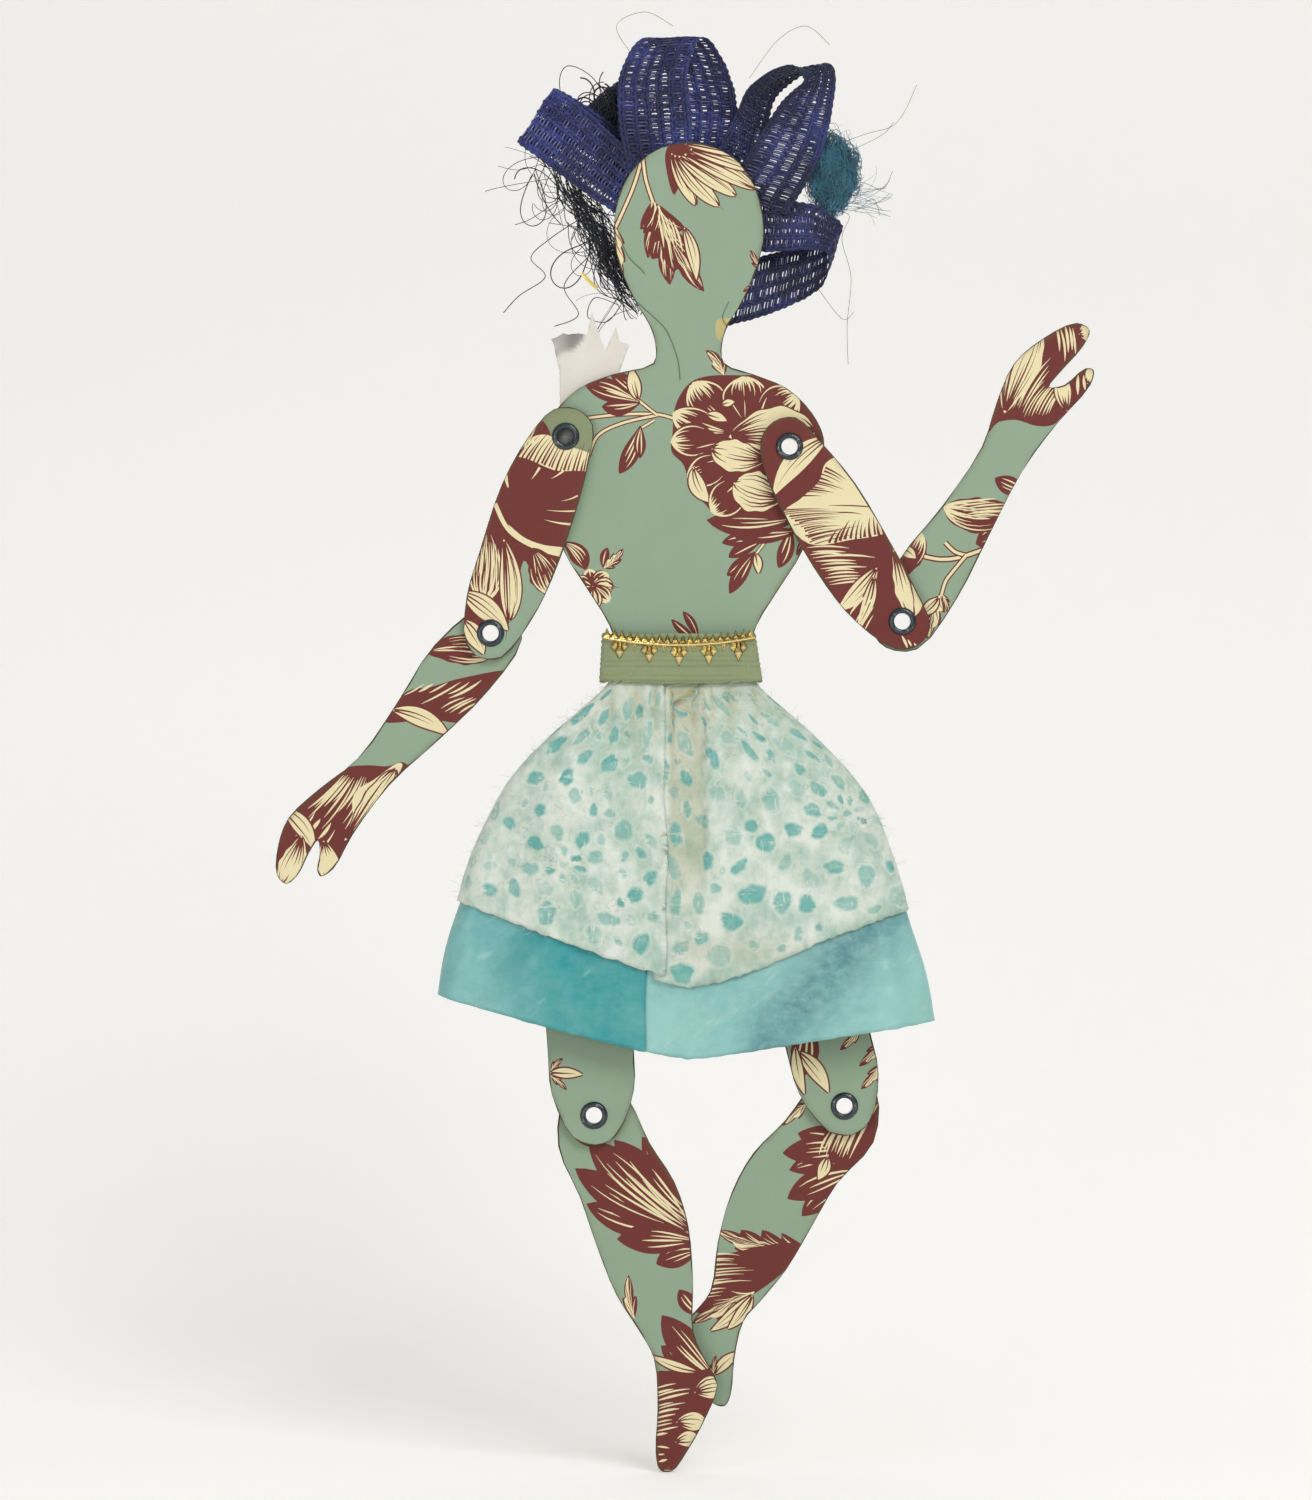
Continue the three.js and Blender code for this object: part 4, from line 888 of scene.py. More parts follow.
def eyeletMaterial():
    material, tree, shader = newMaterial("enamel", Coat_Weight=0.6, Coat_Roughness=0.12,
                                         Specular_IOR_Level=0.6)
    place = objectPlace(tree)
    chips = ramp(tree, noise(tree, place, 900.0, 4.0, 0.65), [(0.6, 0.0), (0.66, 1.0)])
    clouds = noise(tree, place, 350.0, 2.0)
    tint = mixColour(tree, clouds, eyelet["enamel"], eyelet["cloud"])
    feed(shader, Base_Color=mixColour(tree, chips, tint, eyelet["worn"]),
         Metallic=scaled(tree, chips, 0.5, 0.35), Roughness=scaled(tree, clouds, 0.25, 0.16))
    addBump(shader, noise(tree, place, 2200.0, 2.0), 0.2, 0.04)
    return material


def floorMaterial():
    material, tree, shader = newMaterial("eyelet_floor", Metallic=0.2)
    scuff = noise(tree, stretched(tree, objectPlace(tree), (1.0, 1.0, 5.0)), 700.0, 3.0)
    feed(shader, Base_Color=mixColour(tree, scuff, eyelet["floor"], eyelet["scuff"]),
         Roughness=scaled(tree, scuff, 0.3, 0.3))
    return material


def turnedPoints(profile, centre):  # rings about Y, from radius and y
    turns = [2 * math.pi * i / eyelet["sides"] for i in range(eyelet["sides"])]
    return [(centre[0] + radius * math.cos(turn), y, centre[1] + radius * math.sin(turn))
            for radius, y in profile for turn in turns]


def eyeletFloor(centre):  # the dome that closes a barrel
    rings, sides = eyelet["floorRings"], eyelet["sides"]
    points = turnedPoints([(eyelet["bore"] * share, y) for share, y in rings], centre)
    points.append((centre[0], eyelet["floorTop"], centre[1]))
    last = (len(rings) - 1) * sides
    fan = [(last + i, last + (i + 1) % sides, len(points) - 1) for i in range(sides)]
    return points, ringFaces(len(rings), sides) + fan


def makeEyelets():
    enamel, metal = eyeletMaterial(), floorMaterial()
    names = [name for name in nodes if name.startswith("eyelet_")]
    for name in names:
        low, high = (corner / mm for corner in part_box(name))
        ends = {"front": low.y + eyelet["dome"], "rear": high.y - eyelet["rolled"]}
        profile = [(eyelet[radius] + out, ends[end] + away) for radius, out, end, away in eyeletProfile]
        centre = ((low.x + high.x) / 2, (low.z + high.z) / 2)
        parts = [(turnedPoints(profile, centre), ringFaces(len(profile), eyelet["sides"], True))]
        if name == "eyelet_shoulder_left":  # its barrel is closed by a domed floor
            parts.append(eyeletFloor(centre))
        mesh = meshFrom(name, *joined(parts))
        slots = [slot for slot, (_, made) in enumerate(parts) for _ in made]
        mesh.polygons.foreach_set("material_index", slots)
        addPiece("turned_" + name, mesh, [enamel, metal], [name], nodes[name]["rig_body"])
    print("eyelets", len(names))


makeEyelets()


# Skirts: the same wrapped and folded course as the solids, with gathers and creases

wrap = {"waist": 13.3, "middle": -0.75, "bottom": -19.3, "tuck": 1.6, "gap": 0.25, "tucked": 1 / 9,
        "stretch": 1.014, "splayFrom": 44}
puff = {"width": 26, "depth": 18, "power": 1.3, "flare": 0.14, "deep": 9, "deepReach": 25}
square = {"waist": 0.22, "hem": 0.8}
folds = {"count": 9, "height": 1.1}
under = {"thickness": 0.25, "leftDrop": 64.7, "rightDrop": 70.0, "frontDrop": 78.2, "edge": 7.6,
         "tuckedEdge": 15, "wrap": 1.125, "spread": 0.0, "flat": (0.235, 0.079), "splay": 0.11, "dip": 0.0}
over = {"thickness": 0.3, "leftDrop": 45.2, "rightDrop": 47.2, "frontDrop": 62.2, "edge": 3.6,
        "tuckedEdge": 6, "wrap": 1.75, "spread": 0.3, "flat": (0.216, 0.0638), "splay": 0.0, "dip": 2.0}
gathers = {"height": 0.62, "reach": 12.0, "start": 1.6}
pleats = [  # steps along the front, each with its x, height, fade to the right, first and last drop
    {"x": 4.8, "height": 1.5, "fade": 9.0, "first": 4.0, "last": 44.0},
    {"x": 16.8, "height": 0.8, "fade": 6.0, "first": 3.0, "last": 21.0},
    {"x": -24.0, "height": 0.6, "fade": 8.0, "first": 2.0, "last": 24.0},
]


def waves(values, seed, count, low, high):  # a smooth uneven wave: a few sines of mixed length
    rng = random.Random(seed)
    total = np.zeros_like(values)
    for _ in range(count):
        total += np.sin(values * rng.uniform(low, high) + rng.uniform(0, 6.3)) / count ** 0.5
    return total


def skirtSection(size, share, v):  # a point of the plain wrapped course, its drop below the band and its turn
    lowered = np.maximum(0, (v - wrap["tucked"]) / (1 - wrap["tucked"]))

    def flatness(below):
        return square["hem"] + (square["waist"] - square["hem"]) * np.exp(-below / puff["depth"])

    def halfWidth(below):
        puffed = 1 - np.exp(-((below / puff["depth"]) ** puff["power"]))
        splayed = size["splay"] * np.maximum(0, below - wrap["splayFrom"])
        return wrap["waist"] + size["wrap"] + puff["flare"] * below + puff["width"] * puffed + splayed

    def turnAt(x, below):
        return np.arcsin(np.minimum(1, (x / halfWidth(below)) ** (1 / flatness(below))))

    start = -math.pi / 2 - turnAt(size["tuckedEdge"], lowered * size["frontDrop"])
    stop = 1.5 * math.pi - turnAt(size["edge"], lowered * size["frontDrop"])
    turn = start + (stop - start) * share
    cosine, sine = np.cos(turn), np.sin(turn)
    sideDrop = np.where(cosine > 0, size["rightDrop"], size["leftDrop"])
    aside = np.sqrt(np.abs(cosine) ** (2 * square["hem"]) + 0.004)
    fall = size["frontDrop"] + (sideDrop - size["frontDrop"]) * np.minimum(1, aside)
    dipped = np.exp(-((np.sign(sine) * cosine + 0.12) / 0.3) ** 2) * (sine < 0) * (share < 0.5)
    fall = fall + size["dip"] * dipped
    below = lowered * fall
    grown = 1 - np.exp(-below / puff["deepReach"])
    wrapped = (size["thickness"] + wrap["gap"]) * share + size["spread"] * grown
    shape = flatness(below)
    x = (halfWidth(below) + wrapped) * np.sign(cosine) * np.abs(cosine) ** shape
    folded = folds["height"] * grown * np.cos(folds["count"] * turn)
    depth = size["wrap"] + puff["deep"] * grown + wrapped + folded
    return x, depth, np.sign(sine) * np.abs(sine) ** shape, below, turn


def evenShare(size, u, v):  # shares of the turn that lie evenly along the paper at each height
    rows, samples, even = np.linspace(0, 1, 40), np.linspace(0, 1, 900), np.linspace(0, 1, 400)
    table = []
    for row in rows:
        x, depth, across, _, _ = skirtSection(size, samples, np.full_like(samples, row))
        step = np.hypot(np.diff(x), np.diff(depth * across))
        along = np.concatenate([[0], np.cumsum(step)])
        table.append(np.interp(even, along / along[-1], samples))
    table = np.array(table)
    place = np.clip(v, 0, 1) * (len(rows) - 1)
    row = np.minimum(place.astype(int), len(rows) - 2)
    column = np.clip(u, 0, 1) * (len(even) - 1)
    left = np.minimum(column.astype(int), len(even) - 2)
    a, b = place - row, column - left
    upper = table[row, left] * (1 - b) + table[row, left + 1] * b
    lower = table[row + 1, left] * (1 - b) + table[row + 1, left + 1] * b
    return upper * (1 - a) + lower * a


def skirtPoints(size, u, v):
    x, depth, across, below, turn = skirtSection(size, evenShare(size, u, v), v)
    height = wrap["bottom"] - below * wrap["stretch"] + wrap["tuck"] * np.maximum(0, 1 - v / wrap["tucked"])
    grown = 1 - np.exp(-below / puff["deepReach"])
    gathered = 1 - np.exp(-(below / gathers["start"]) ** 2)
    gathered = gathered * np.exp(-below / gathers["reach"]) * gathers["height"]
    tuck = np.abs(np.sin(x * 0.55 + 4 * np.tanh(x / 5) + 0.4 * np.sin(x * 0.9)))  # closest at the middle
    ruffle = gathered * (1.6 * tuck ** 0.7 + 0.5 * waves(x, 5, 6, 1.1, 2.6))
    valley = gathered / gathers["height"] * (1 - tuck) ** 2
    bearing = np.mod(turn, 2 * np.pi)  # the same for both layers of a lap, so they crease alike
    crease = 0.34 * grown * waves(bearing * 9 + below * 0.22, 8, 5, 0.6, 2.4)
    lifted = np.zeros_like(x)
    facing = smoothstep(0.3, 0.6, -np.sin(turn))
    for pleat in pleats:
        reach = smoothstep(pleat["first"] - 3, pleat["first"] + 4, below)
        reach = reach * (1 - smoothstep(pleat["last"] - 16, pleat["last"], below))
        step = smoothstep(-0.35, 0.2, x - pleat["x"]) * np.exp(-np.maximum(0, x - pleat["x"]) / pleat["fade"])
        lifted += pleat["height"] * reach * step * facing
    y = wrap["middle"] + (depth + ruffle + crease + lifted) * across
    x = x + np.sign(x) * 0.4 * grown * waves(turn + below * 0.05, 9, 4, 2, 7)
    return np.stack([x, y, height], -1), below, valley


def thicken(piece, thickness):
    solid = piece.modifiers.new("thickness", "SOLIDIFY")
    solid.thickness = thickness * mm
    solid.offset = 0


def faceArea(mesh):
    return sum(face.area for face in mesh.polygons)


def sweepStrip(path, across, face, halfWidth, halfThick, sides=6):
    # a flat-sided strand along a path, its section set by two directions at every point
    count = len(path)
    turns = 2 * np.pi * np.arange(sides) / sides
    ring = (path[:, None] + across[:, None] * (halfWidth * np.cos(turns))[:, None]
            + face[:, None] * (halfThick * np.sin(turns))[:, None])
    index = np.arange(count * sides).reshape(count, sides)
    after = np.roll(index, -1, axis=1)
    faces = np.stack([index[:-1], after[:-1], after[1:], index[1:]], -1).reshape(-1, 4).tolist()
    faces += [tuple(index[0][::-1]), tuple(index[-1])]
    return ring.reshape(-1, 3), faces


def threadMesh(paths, radius, sides=4):  # round threads along paths, all in one set of points and faces
    aslant = np.array([0.31, 0.83, 0.46])
    parts = []
    for path, thick in zip(paths, np.broadcast_to(radius, len(paths))):
        way = unit(np.gradient(path, axis=0))
        across = unit(np.cross(way, aslant))
        parts.append(sweepStrip(path, across, np.cross(way, across), thick, thick, sides))
    return joined(parts)


tissue = {"deep": linear(6, 146, 150), "pale": linear(150, 202, 196), "white": linear(220, 234, 228),
          "blue": linear(88, 140, 146), "thick": 0.12, "columns": 320, "rows": 90}


def tissueMaterial():
    material, tree, shader = newMaterial("tissue", Specular_IOR_Level=0.5)
    place = objectPlace(tree)
    cloud = noise(tree, place, 52.0, 5.0, 0.6)
    pulp = noise(tree, stretched(tree, place, (1.0, 1.0, 1.4)), 330.0, 5.0, 0.7)
    tone = scaled(tree, cloud, 1.1, scaled(tree, pulp, 0.5, attribute(tree, "layers")))
    tone = maths(tree, "SUBTRACT", tone, 0.72, clamp=True)
    colour = mixColour(tree, tone, tissue["pale"], tissue["deep"])
    bluish = scaled(tree, attribute(tree, "shadow"), scaled(tree, pulp, 1.7, -0.12), clamp=True)
    colour = mixColour(tree, bluish, colour, tissue["blue"])
    slanted = addNode(tree, "ShaderNodeVectorRotate", {"Vector": place, "Angle": 0.6}, rotation_type="Y_AXIS")
    hairs = noise(tree, stretched(tree, slanted.outputs[0], (0.35, 1.0, 1.6)), 240.0, 4.0, 0.6)
    colour = mixColour(tree, ramp(tree, hairs, [(0.6, 0.0), (0.84, 0.4)]), colour, tissue["white"])
    grain = placeGroup(tree, paperGrain, Colour=colour, Mottle=0.12, Tooth=0.08)
    feed(shader, Base_Color=grain["Colour"], Roughness=scaled(tree, pulp, 0.3, 0.26))
    addBump(shader, noise(tree, place, 260.0, 4.0, 0.6), 0.45, 0.35)
    return material


def makeUnderskirt():
    columns, rows = tissue["columns"], tissue["rows"]
    u, v = np.meshgrid(np.linspace(0, 1, columns), np.linspace(0, 1, rows), indexing="ij")
    u, v = u.ravel(), v.ravel()
    points, below, _ = skirtPoints(under, u, v)
    x, z = points[:, 0], points[:, 2]
    crumple = waves(x * 0.5 + below * 0.4, 21, 6, 0.5, 1.8) * waves(below * 0.5 - x * 0.2, 22, 5, 0.4, 1.6)
    corner = 1 + 2 * smoothstep(26, 46, x)
    points[:, 1] += 0.24 * crumple * corner * smoothstep(30, 60, below)
    points[:, 2] -= smoothstep(0.97, 1.0, v) * 0.06 * waves(x, 23, 6, 0.5, 2.0)
    faces = [(i * rows + j, (i + 1) * rows + j, (i + 1) * rows + j + 1, i * rows + j + 1)
             for i in range(columns - 1) for j in range(rows - 1)]
    doubled = smoothstep(0.36, 0.64, u)  # the colour changes slowly round the back
    layers = doubled * (0.38 + 0.42 * smoothstep(-46, -14, x)) - smoothstep(38, 46, x) * 0.1
    away = (x - 28.5) * 0.73 - (z + 82) * 0.68  # across a bluish band, down and left on the right panel
    shadow = np.exp(-(away / 6.8) ** 2) * (points[:, 1] < 0) * smoothstep(8, 18, x)
    mesh = meshFrom("underskirt", points, faces, layers=layers, shadow=shadow)
    piece = addPiece("tissue_underskirt", mesh, [tissueMaterial()], ["underskirt"])
    thicken(piece, tissue["thick"])
    print("underskirt", len(mesh.polygons), "faces, net area", round(faceArea(mesh) * 1e4, 1), "cm2")


makeUnderskirt()


lace = {"white": linear(226, 232, 220), "thin": linear(162, 192, 174), "rim": linear(236, 240, 229),
        "tint": linear(170, 168, 126), "film": linear(134, 212, 203), "grid": 1.2, "margin": 1.05,
        "top": -6.0, "soft": 1.5, "thick": 0.12, "fibres": 2400, "fibre": 0.028,
        "edgeSteps": 220, "sideSteps": 60}
rosettes = [(50.0, 34.0, 7.4), (192.0, 44.0, 7.0), (112.0, 36.0, 7.0), (150.0, 24.0, 6.0)]  # x, drop and size
rosetteRings = [  # of eight holes: first turn, its unevenness, then shares of the size: out, long and short
    (0.0, 0.12, 0.5, 0.19, 0.12), (0.5, 0.1, 1.12, 0.32, 0.24)]
holeSizes = [(3.1, 60), (2.7, 120), (2.3, 240), (1.9, 400), (1.5, 500), (1.1, 400)]  # half length and tries


def laceHoles(rng, width, drop):
    # oval holes in flat lengths round the skirt and down it: rosettes first, then as many as fit between
    holes = []

    def addHole(x, z, long, short, turn):
        holes.append({"x": x, "z": z, "long": long, "short": short, "turn": turn, "seed": rng.random()})

    def isFree(x, z, reach):
        return all(math.hypot(x - h["x"], z - h["z"]) > reach + (h["long"] + h["short"]) / 2 + lace["margin"]
                   for h in holes)

    for x, z, size in rosettes:
        addHole(x, z, size * 0.14, size * 0.12, 0)
        for first, uneven, out, long, short in rosetteRings:
            for i in range(8):
                turn = 2 * math.pi * (i + first) / 8 + rng.uniform(-uneven, uneven)
                across, down = x + math.cos(turn) * size * out, z + math.sin(turn) * size * out
                addHole(across, down, size * long, size * short, turn)
    for long, tries in holeSizes:
        for _ in range(tries):
            x, z = rng.uniform(2.4, width - 2.8), rng.uniform(3, drop - 2.6)
            short = long * rng.uniform(0.6, 0.88)
            if isFree(x, z, (long + short) / 2):
                addHole(x, z, long, short, rng.uniform(0, math.pi))
    return holes


def holeLoop(hole, grow, steps=18):
    rng = random.Random(hole["seed"])
    waver = [(k, rng.uniform(0.02, 0.11), rng.uniform(0, 6.3)) for k in (2, 3, 5)]
    cosine, sine = math.cos(hole["turn"]), math.sin(hole["turn"])
    loop = []
    for i in range(steps):
        at = 2 * math.pi * i / steps
        uneven = 1 + sum(size * math.sin(k * at + first) for k, size, first in waver)
        a = max(0.1, hole["long"] * uneven + grow) * math.cos(at)
        b = max(0.1, hole["short"] * uneven + grow) * math.sin(at)
        loop.append((hole["x"] + a * cosine - b * sine, hole["z"] + a * sine + b * cosine))
    return np.array(loop)


def laceMaterial():
    material, tree, shader = newMaterial("lace_paper", Specular_IOR_Level=0.25, Sheen_Weight=0.2)
    place, depth = objectPlace(tree), attribute(tree, "hole")
    cloud = noise(tree, place, 105.0, 5.0, 0.65)
    fibre = noise(tree, stretched(tree, place, (1.0, 1.0, 0.25)), 1100.0, 3.0, 0.6)
    cross = noise(tree, stretched(tree, place, (0.25, 1.0, 1.0)), 900.0, 3.0, 0.6)
    threads = maths(tree, "MAXIMUM", fibre, cross)
    wisp = noise(tree, stretched(tree, place, (1.0, 1.0, 0.6)), 300.0, 4.0, 0.65)
    thinned = scaled(tree, cloud, 0.65, scaled(tree, wisp, 0.35))
    colour = mixColour(tree, ramp(tree, thinned, [(0.42, 0.0), (0.62, 1.0)]), lace["white"], lace["thin"])
    # painted shade: the tint value turns the lace olive where it lies in shade
    colour = mixColour(tree, attribute(tree, "tint"), colour, lace["tint"])
    # partly a painted highlight: the raised rim round a hole is painted lighter, and partly the denser beaten
    # paper there
    raised = ramp(tree, depth, [(0.0, 0.0), (0.2, 0.4), (0.7, 0.0)])  # the beaten rim of a hole
    raised = scaled(tree, raised, ramp(tree, wisp, [(0.4, 0.0), (0.62, 1.0)]))
    colour = mixColour(tree, raised, colour, lace["rim"])
    strands = ramp(tree, threads, [(0.58, 0.0), (0.7, 1.0)])
    uneven = scaled(tree, noise(tree, place, 520.0, 4.0, 0.7), 1.5, -0.75)
    bare = maths(tree, "ADD", depth, uneven)
    bare = scaled(tree, bare, maths(tree, "MINIMUM", depth, 0.9), clamp=True)
    bare = scaled(tree, strands, -0.6, bare, clamp=True)
    colour = mixColour(tree, bare, colour, lace["film"])
    grain = placeGroup(tree, paperGrain, Colour=colour, Mottle=0.08, Tooth=0.06)
    feed(shader, Base_Color=grain["Colour"], Roughness=grain["Roughness"])
    feed(shader, Alpha=scaled(tree, bare, -0.55, 1.0))
    crumple = noise(tree, stretched(tree, place, (1.0, 1.0, 0.7)), 120.0, 3.0, 0.5)
    addBump(shader, scaled(tree, threads, 0.12, crumple), 0.4, 1.6)
    return material


def lacePattern(rng, width, drop):
    # the flat paper as triangles, with a value that rises from a hole's rim to its middle
    edgeSteps, sideSteps, tall = lace["edgeSteps"], lace["sideSteps"], drop - lace["top"]
    top = [(width * i / edgeSteps, lace["top"]) for i in range(edgeSteps)]
    right = [(width + rng.uniform(-0.25, 0.25), lace["top"] + tall * i / sideSteps) for i in range(sideSteps)]
    hem = [(width * (1 - i / edgeSteps), drop + rng.uniform(-0.35, 0.2)) for i in range(edgeSteps)]
    left = [(rng.uniform(-0.2, 0.2), drop - tall * i / sideSteps) for i in range(sideSteps)]
    outline = np.array(top + right + hem + left)
    holes = laceHoles(rng, width, drop)
    rims = [holeLoop(hole, lace["soft"] * 0.4) for hole in holes]
    hearts = [holeLoop(hole, -min(lace["soft"] * 0.4, hole["short"] * 0.45)) for hole in holes]
    spots = np.array([(h["x"], h["z"], h["long"] * 1.16 + lace["soft"]) for h in holes])
    grid = []
    for x in np.arange(lace["grid"], width, lace["grid"]):
        for z in np.arange(lace["top"] + lace["grid"], drop - 0.5, lace["grid"]):
            if np.all(np.hypot(spots[:, 0] - x, spots[:, 1] - z) > spots[:, 2]):
                grid.append((x, z))
    flat, triangles, middles = cutPattern([outline] + rims + hearts, grid)
    depth = np.zeros(len(flat))
    for heart in hearts:
        centre = heart.mean(axis=0)
        depth[coveredBy(flat, centre + (heart - centre) * 1.02)] = rng.uniform(0.45, 1.05)
    return flat, triangles[coveredBy(middles, outline)], depth, len(holes)


def makeOverskirt():
    rng = random.Random(29)
    width, drop = over["flat"][0] / mm, over["frontDrop"]
    flat, triangles, depth, holes = lacePattern(rng, width, drop)
    u = flat[:, 0] / width
    tucked = wrap["tucked"] * (1 - flat[:, 1] / lace["top"])
    hanging = wrap["tucked"] + (1 - wrap["tucked"]) * flat[:, 1] / drop
    points, below, valley = skirtPoints(over, u, np.where(flat[:, 1] < 0, tucked, hanging))
    used, faces = usedOnly(triangles)
    x, front = points[:, 0], (points[:, 1] < 0) & (u < 0.5)
    # painted shade in olive: the recessed centre pleat, also a doubled layer, the top under the band and the
    # gather valleys; then a darker band across the front
    tint = (x > -3.0) * (x < 4.8) * front * (1 - smoothstep(34, 54, below)) * 0.42
    tint += 0.2 * (1 - smoothstep(2, 12, below)) + 0.75 * valley
    course = np.exp(-((points[:, 2] + 75.5) / 3) ** 2) * smoothstep(-4, 0, x) * (1 - smoothstep(14, 30, x))
    tint += 0.3 * course * front
    mesh = meshFrom("overskirt", points[used], faces, hole=depth[used], tint=tint[used])
    paper = laceMaterial()
    piece = addPiece("lace_overskirt", mesh, [paper], ["overskirt"])
    thicken(piece, lace["thick"])
    paths = []
    for _ in range(lace["fibres"]):  # loose fibres that stand off the paper
        spot = points[rng.choice(used)]
        out = np.array([spot[0] / 50, spot[1] / 16, 0.15])
        way = unit(out) + np.array([rng.gauss(0, spread) for spread in (0.7, 0.5, 0.8)])
        bend = np.array([rng.gauss(0, spread) for spread in (0.3, 0.1, 0.3)])
        length = rng.uniform(0.5, 1.5)
        paths.append(np.stack([spot, spot + way * length * 0.5 + bend, spot + way * length]))
    hairs, quads = threadMesh(paths, lace["fibre"], 3)
    plain = np.zeros(len(hairs))
    mesh = meshFrom("lace_fibres", hairs, quads, hole=plain, tint=plain)
    addPiece("lace_fibres", mesh, [paper])


makeOverskirt()


# Waistband of crepe paper, crinkled along its length

crepe = {"colour": linear(146, 157, 119), "dark": linear(98, 104, 70), "around": 260, "down": 72,
         "ridge": 0.11, "inside": 3.1, "thickness": 0.6, "top": -9.3, "height": 9.9, "flare": 0.6, "sag": 0.4,
         "sagReach": 17, "fray": 0.16, "innerRidge": 0.2, "drawnIn": (1.8, 0.9)}


def crepeMaterial():
    material, tree, shader = newMaterial("crepe", Specular_IOR_Level=0.2, Sheen_Weight=0.1)
    lines = noise(tree, stretched(tree, objectPlace(tree), (0.12, 0.12, 1.0)), 1500.0, 3.0, 0.6)
    # darker along fine lines, and painted shade in the furrows of the crinkles
    amount = scaled(tree, lines, 0.5, scaled(tree, attribute(tree, "furrow"), 0.6))
    amount = maths(tree, "SUBTRACT", amount, 0.2, clamp=True)
    colour = mixColour(tree, amount, crepe["colour"], crepe["dark"])
    grain = placeGroup(tree, paperGrain, Colour=colour, Mottle=0.16, Tooth=0.12)
    feed(shader, Base_Color=grain["Colour"], Roughness=grain["Roughness"])
    addBump(shader, lines, 0.6, 0.15)
    return material


def makeWaistband():
    around, down = crepe["around"], crepe["down"]
    turn = 2 * np.pi * (np.arange(around) + 0.5) / around
    share = np.linspace(0, 1, down)

    def rounded(value):
        return np.sign(value) * np.abs(value) ** 0.3

    def ring(depth):
        x = (wrap["waist"] + depth) * rounded(np.cos(turn))
        return x, depth * rounded(np.sin(turn))

    turnGrid, shareGrid = np.meshgrid(turn, share, indexing="ij")
    outX, outY = ring(crepe["inside"] + crepe["thickness"])
    inX, inY = ring(crepe["inside"])
    crinkle = waves(shareGrid * 60 + 0.5 * np.sin(turnGrid * 3), 31, 5, 0.7, 1.7)
    crinkle = crinkle * (0.7 + 0.3 * waves(turnGrid * 6 + shareGrid * 2, 32, 4, 0.6, 2.2))
    # painted shade: how deep each point lies in a crinkle's furrow
    furrow = np.clip(-crinkle * 0.5, 0, 1)
    lift = crepe["ridge"] * crinkle
    edge = crepe["fray"] * (waves(turn, 33, 6, 8, 40) + waves(turn, 34, 5, 40, 120) * 0.5)
    rows = []
    for x, y, ridge in ((outX, outY, lift), (inX, inY, lift * crepe["innerRidge"])):
        facing = np.maximum(0, -np.sin(turn))[:, None] ** 0.5
        sag = crepe["sag"] * facing * np.cos(np.clip(x / crepe["sagReach"], -1, 1) * np.pi / 2)[:, None]
        frayed = edge[:, None] * ((shareGrid < 0.02) * 1.0 - (shareGrid > 0.98))
        z = crepe["top"] - crepe["height"] * shareGrid - sag * shareGrid ** 2 + frayed
        wide = x[:, None] + np.sign(x)[:, None] * (crepe["flare"] * shareGrid) + np.cos(turnGrid) * ridge
        drawnIn = crepe["drawnIn"][0] + (crepe["drawnIn"][1] - crepe["drawnIn"][0]) * shareGrid
        wide = wide - drawnIn * smoothstep(8, 16, x)[:, None]
        deep = wrap["middle"] + y[:, None] + np.sin(turnGrid) * ridge
        rows.append(np.stack([wide, deep, z], -1))
    layer = around * down
    faces = []
    for i in range(around):
        here, there = i * down, (i + 1) % around * down
        for j in range(down - 1):
            a, b = here + j, there + j
            faces.append((a, a + 1, b + 1, b))
            faces.append((layer + a, layer + b, layer + b + 1, layer + a + 1))
        a, b = here + down - 1, there + down - 1
        faces.append((here, there, layer + there, layer + here))
        faces.append((a, layer + a, layer + b, b))
    furrows = np.concatenate([furrow.ravel(), np.zeros(layer)])
    mesh = meshFrom("waistband", np.stack(rows).reshape(-1, 3), faces, furrow=furrows)
    addPiece("crepe_waistband", mesh, [crepeMaterial()], ["waistband"])
    print("waistband", len(mesh.polygons), "faces")


makeWaistband()


# Gold foil trim: a thin rail, pointed teeth above it and faceted drops of three leaves below

gold = {"left": -16.7, "right": 15.0, "back": -4.45, "drop": 0.7, "sag": 1.6, "teeth": 20, "tooth": 2.1,
        "rail": 0.27, "steps": 81, "pendants": 5, "pendantWidth": 3.8, "pendantLength": 4.2,
        "bright": linear(255, 234, 164), "deep": linear(92, 62, 16)}
dropLeaves = [  # corners of a drop's three leaves and its stem, as shares of its half width and length
    [(-0.24, -0.1), (-0.62, 0.0), (-1.0, -0.34), (-0.46, -0.56), (-0.2, -0.36)],
    [(0.24, -0.1), (0.2, -0.36), (0.46, -0.56), (1.0, -0.34), (0.62, 0.0)],
    [(-0.2, -0.3), (-0.5, -0.58), (0.0, -1.0), (0.5, -0.58), (0.2, -0.3)],
    [(-0.2, 0.0), (-0.2, -0.3), (0.0, -0.42), (0.2, -0.3), (0.2, 0.0)],
]


def goldMaterial():
    material, tree, shader = newMaterial("gold_foil", Metallic=1.0, Specular_IOR_Level=0.6)
    place = objectPlace(tree)
    cloud = noise(tree, place, 420.0, 3.0)
    # painted shade: the foil's shade value, with some random cloud, turns it from bright to deep brown
    amount = scaled(tree, cloud, 0.3, attribute(tree, "hollow"), clamp=True)
    feed(shader, Base_Color=mixColour(tree, amount, gold["bright"], gold["deep"]),
         Roughness=scaled(tree, cloud, 0.2, 0.08))
    addBump(shader, noise(tree, place, 1300.0, 2.0), 0.6, 0.14)
    return material


def railAt(x):
    middle, half = (gold["left"] + gold["right"]) / 2, (gold["right"] - gold["left"]) / 2
    return crepe["top"] - gold["drop"] - gold["sag"] * (1 - ((x - middle) / half) ** 2)


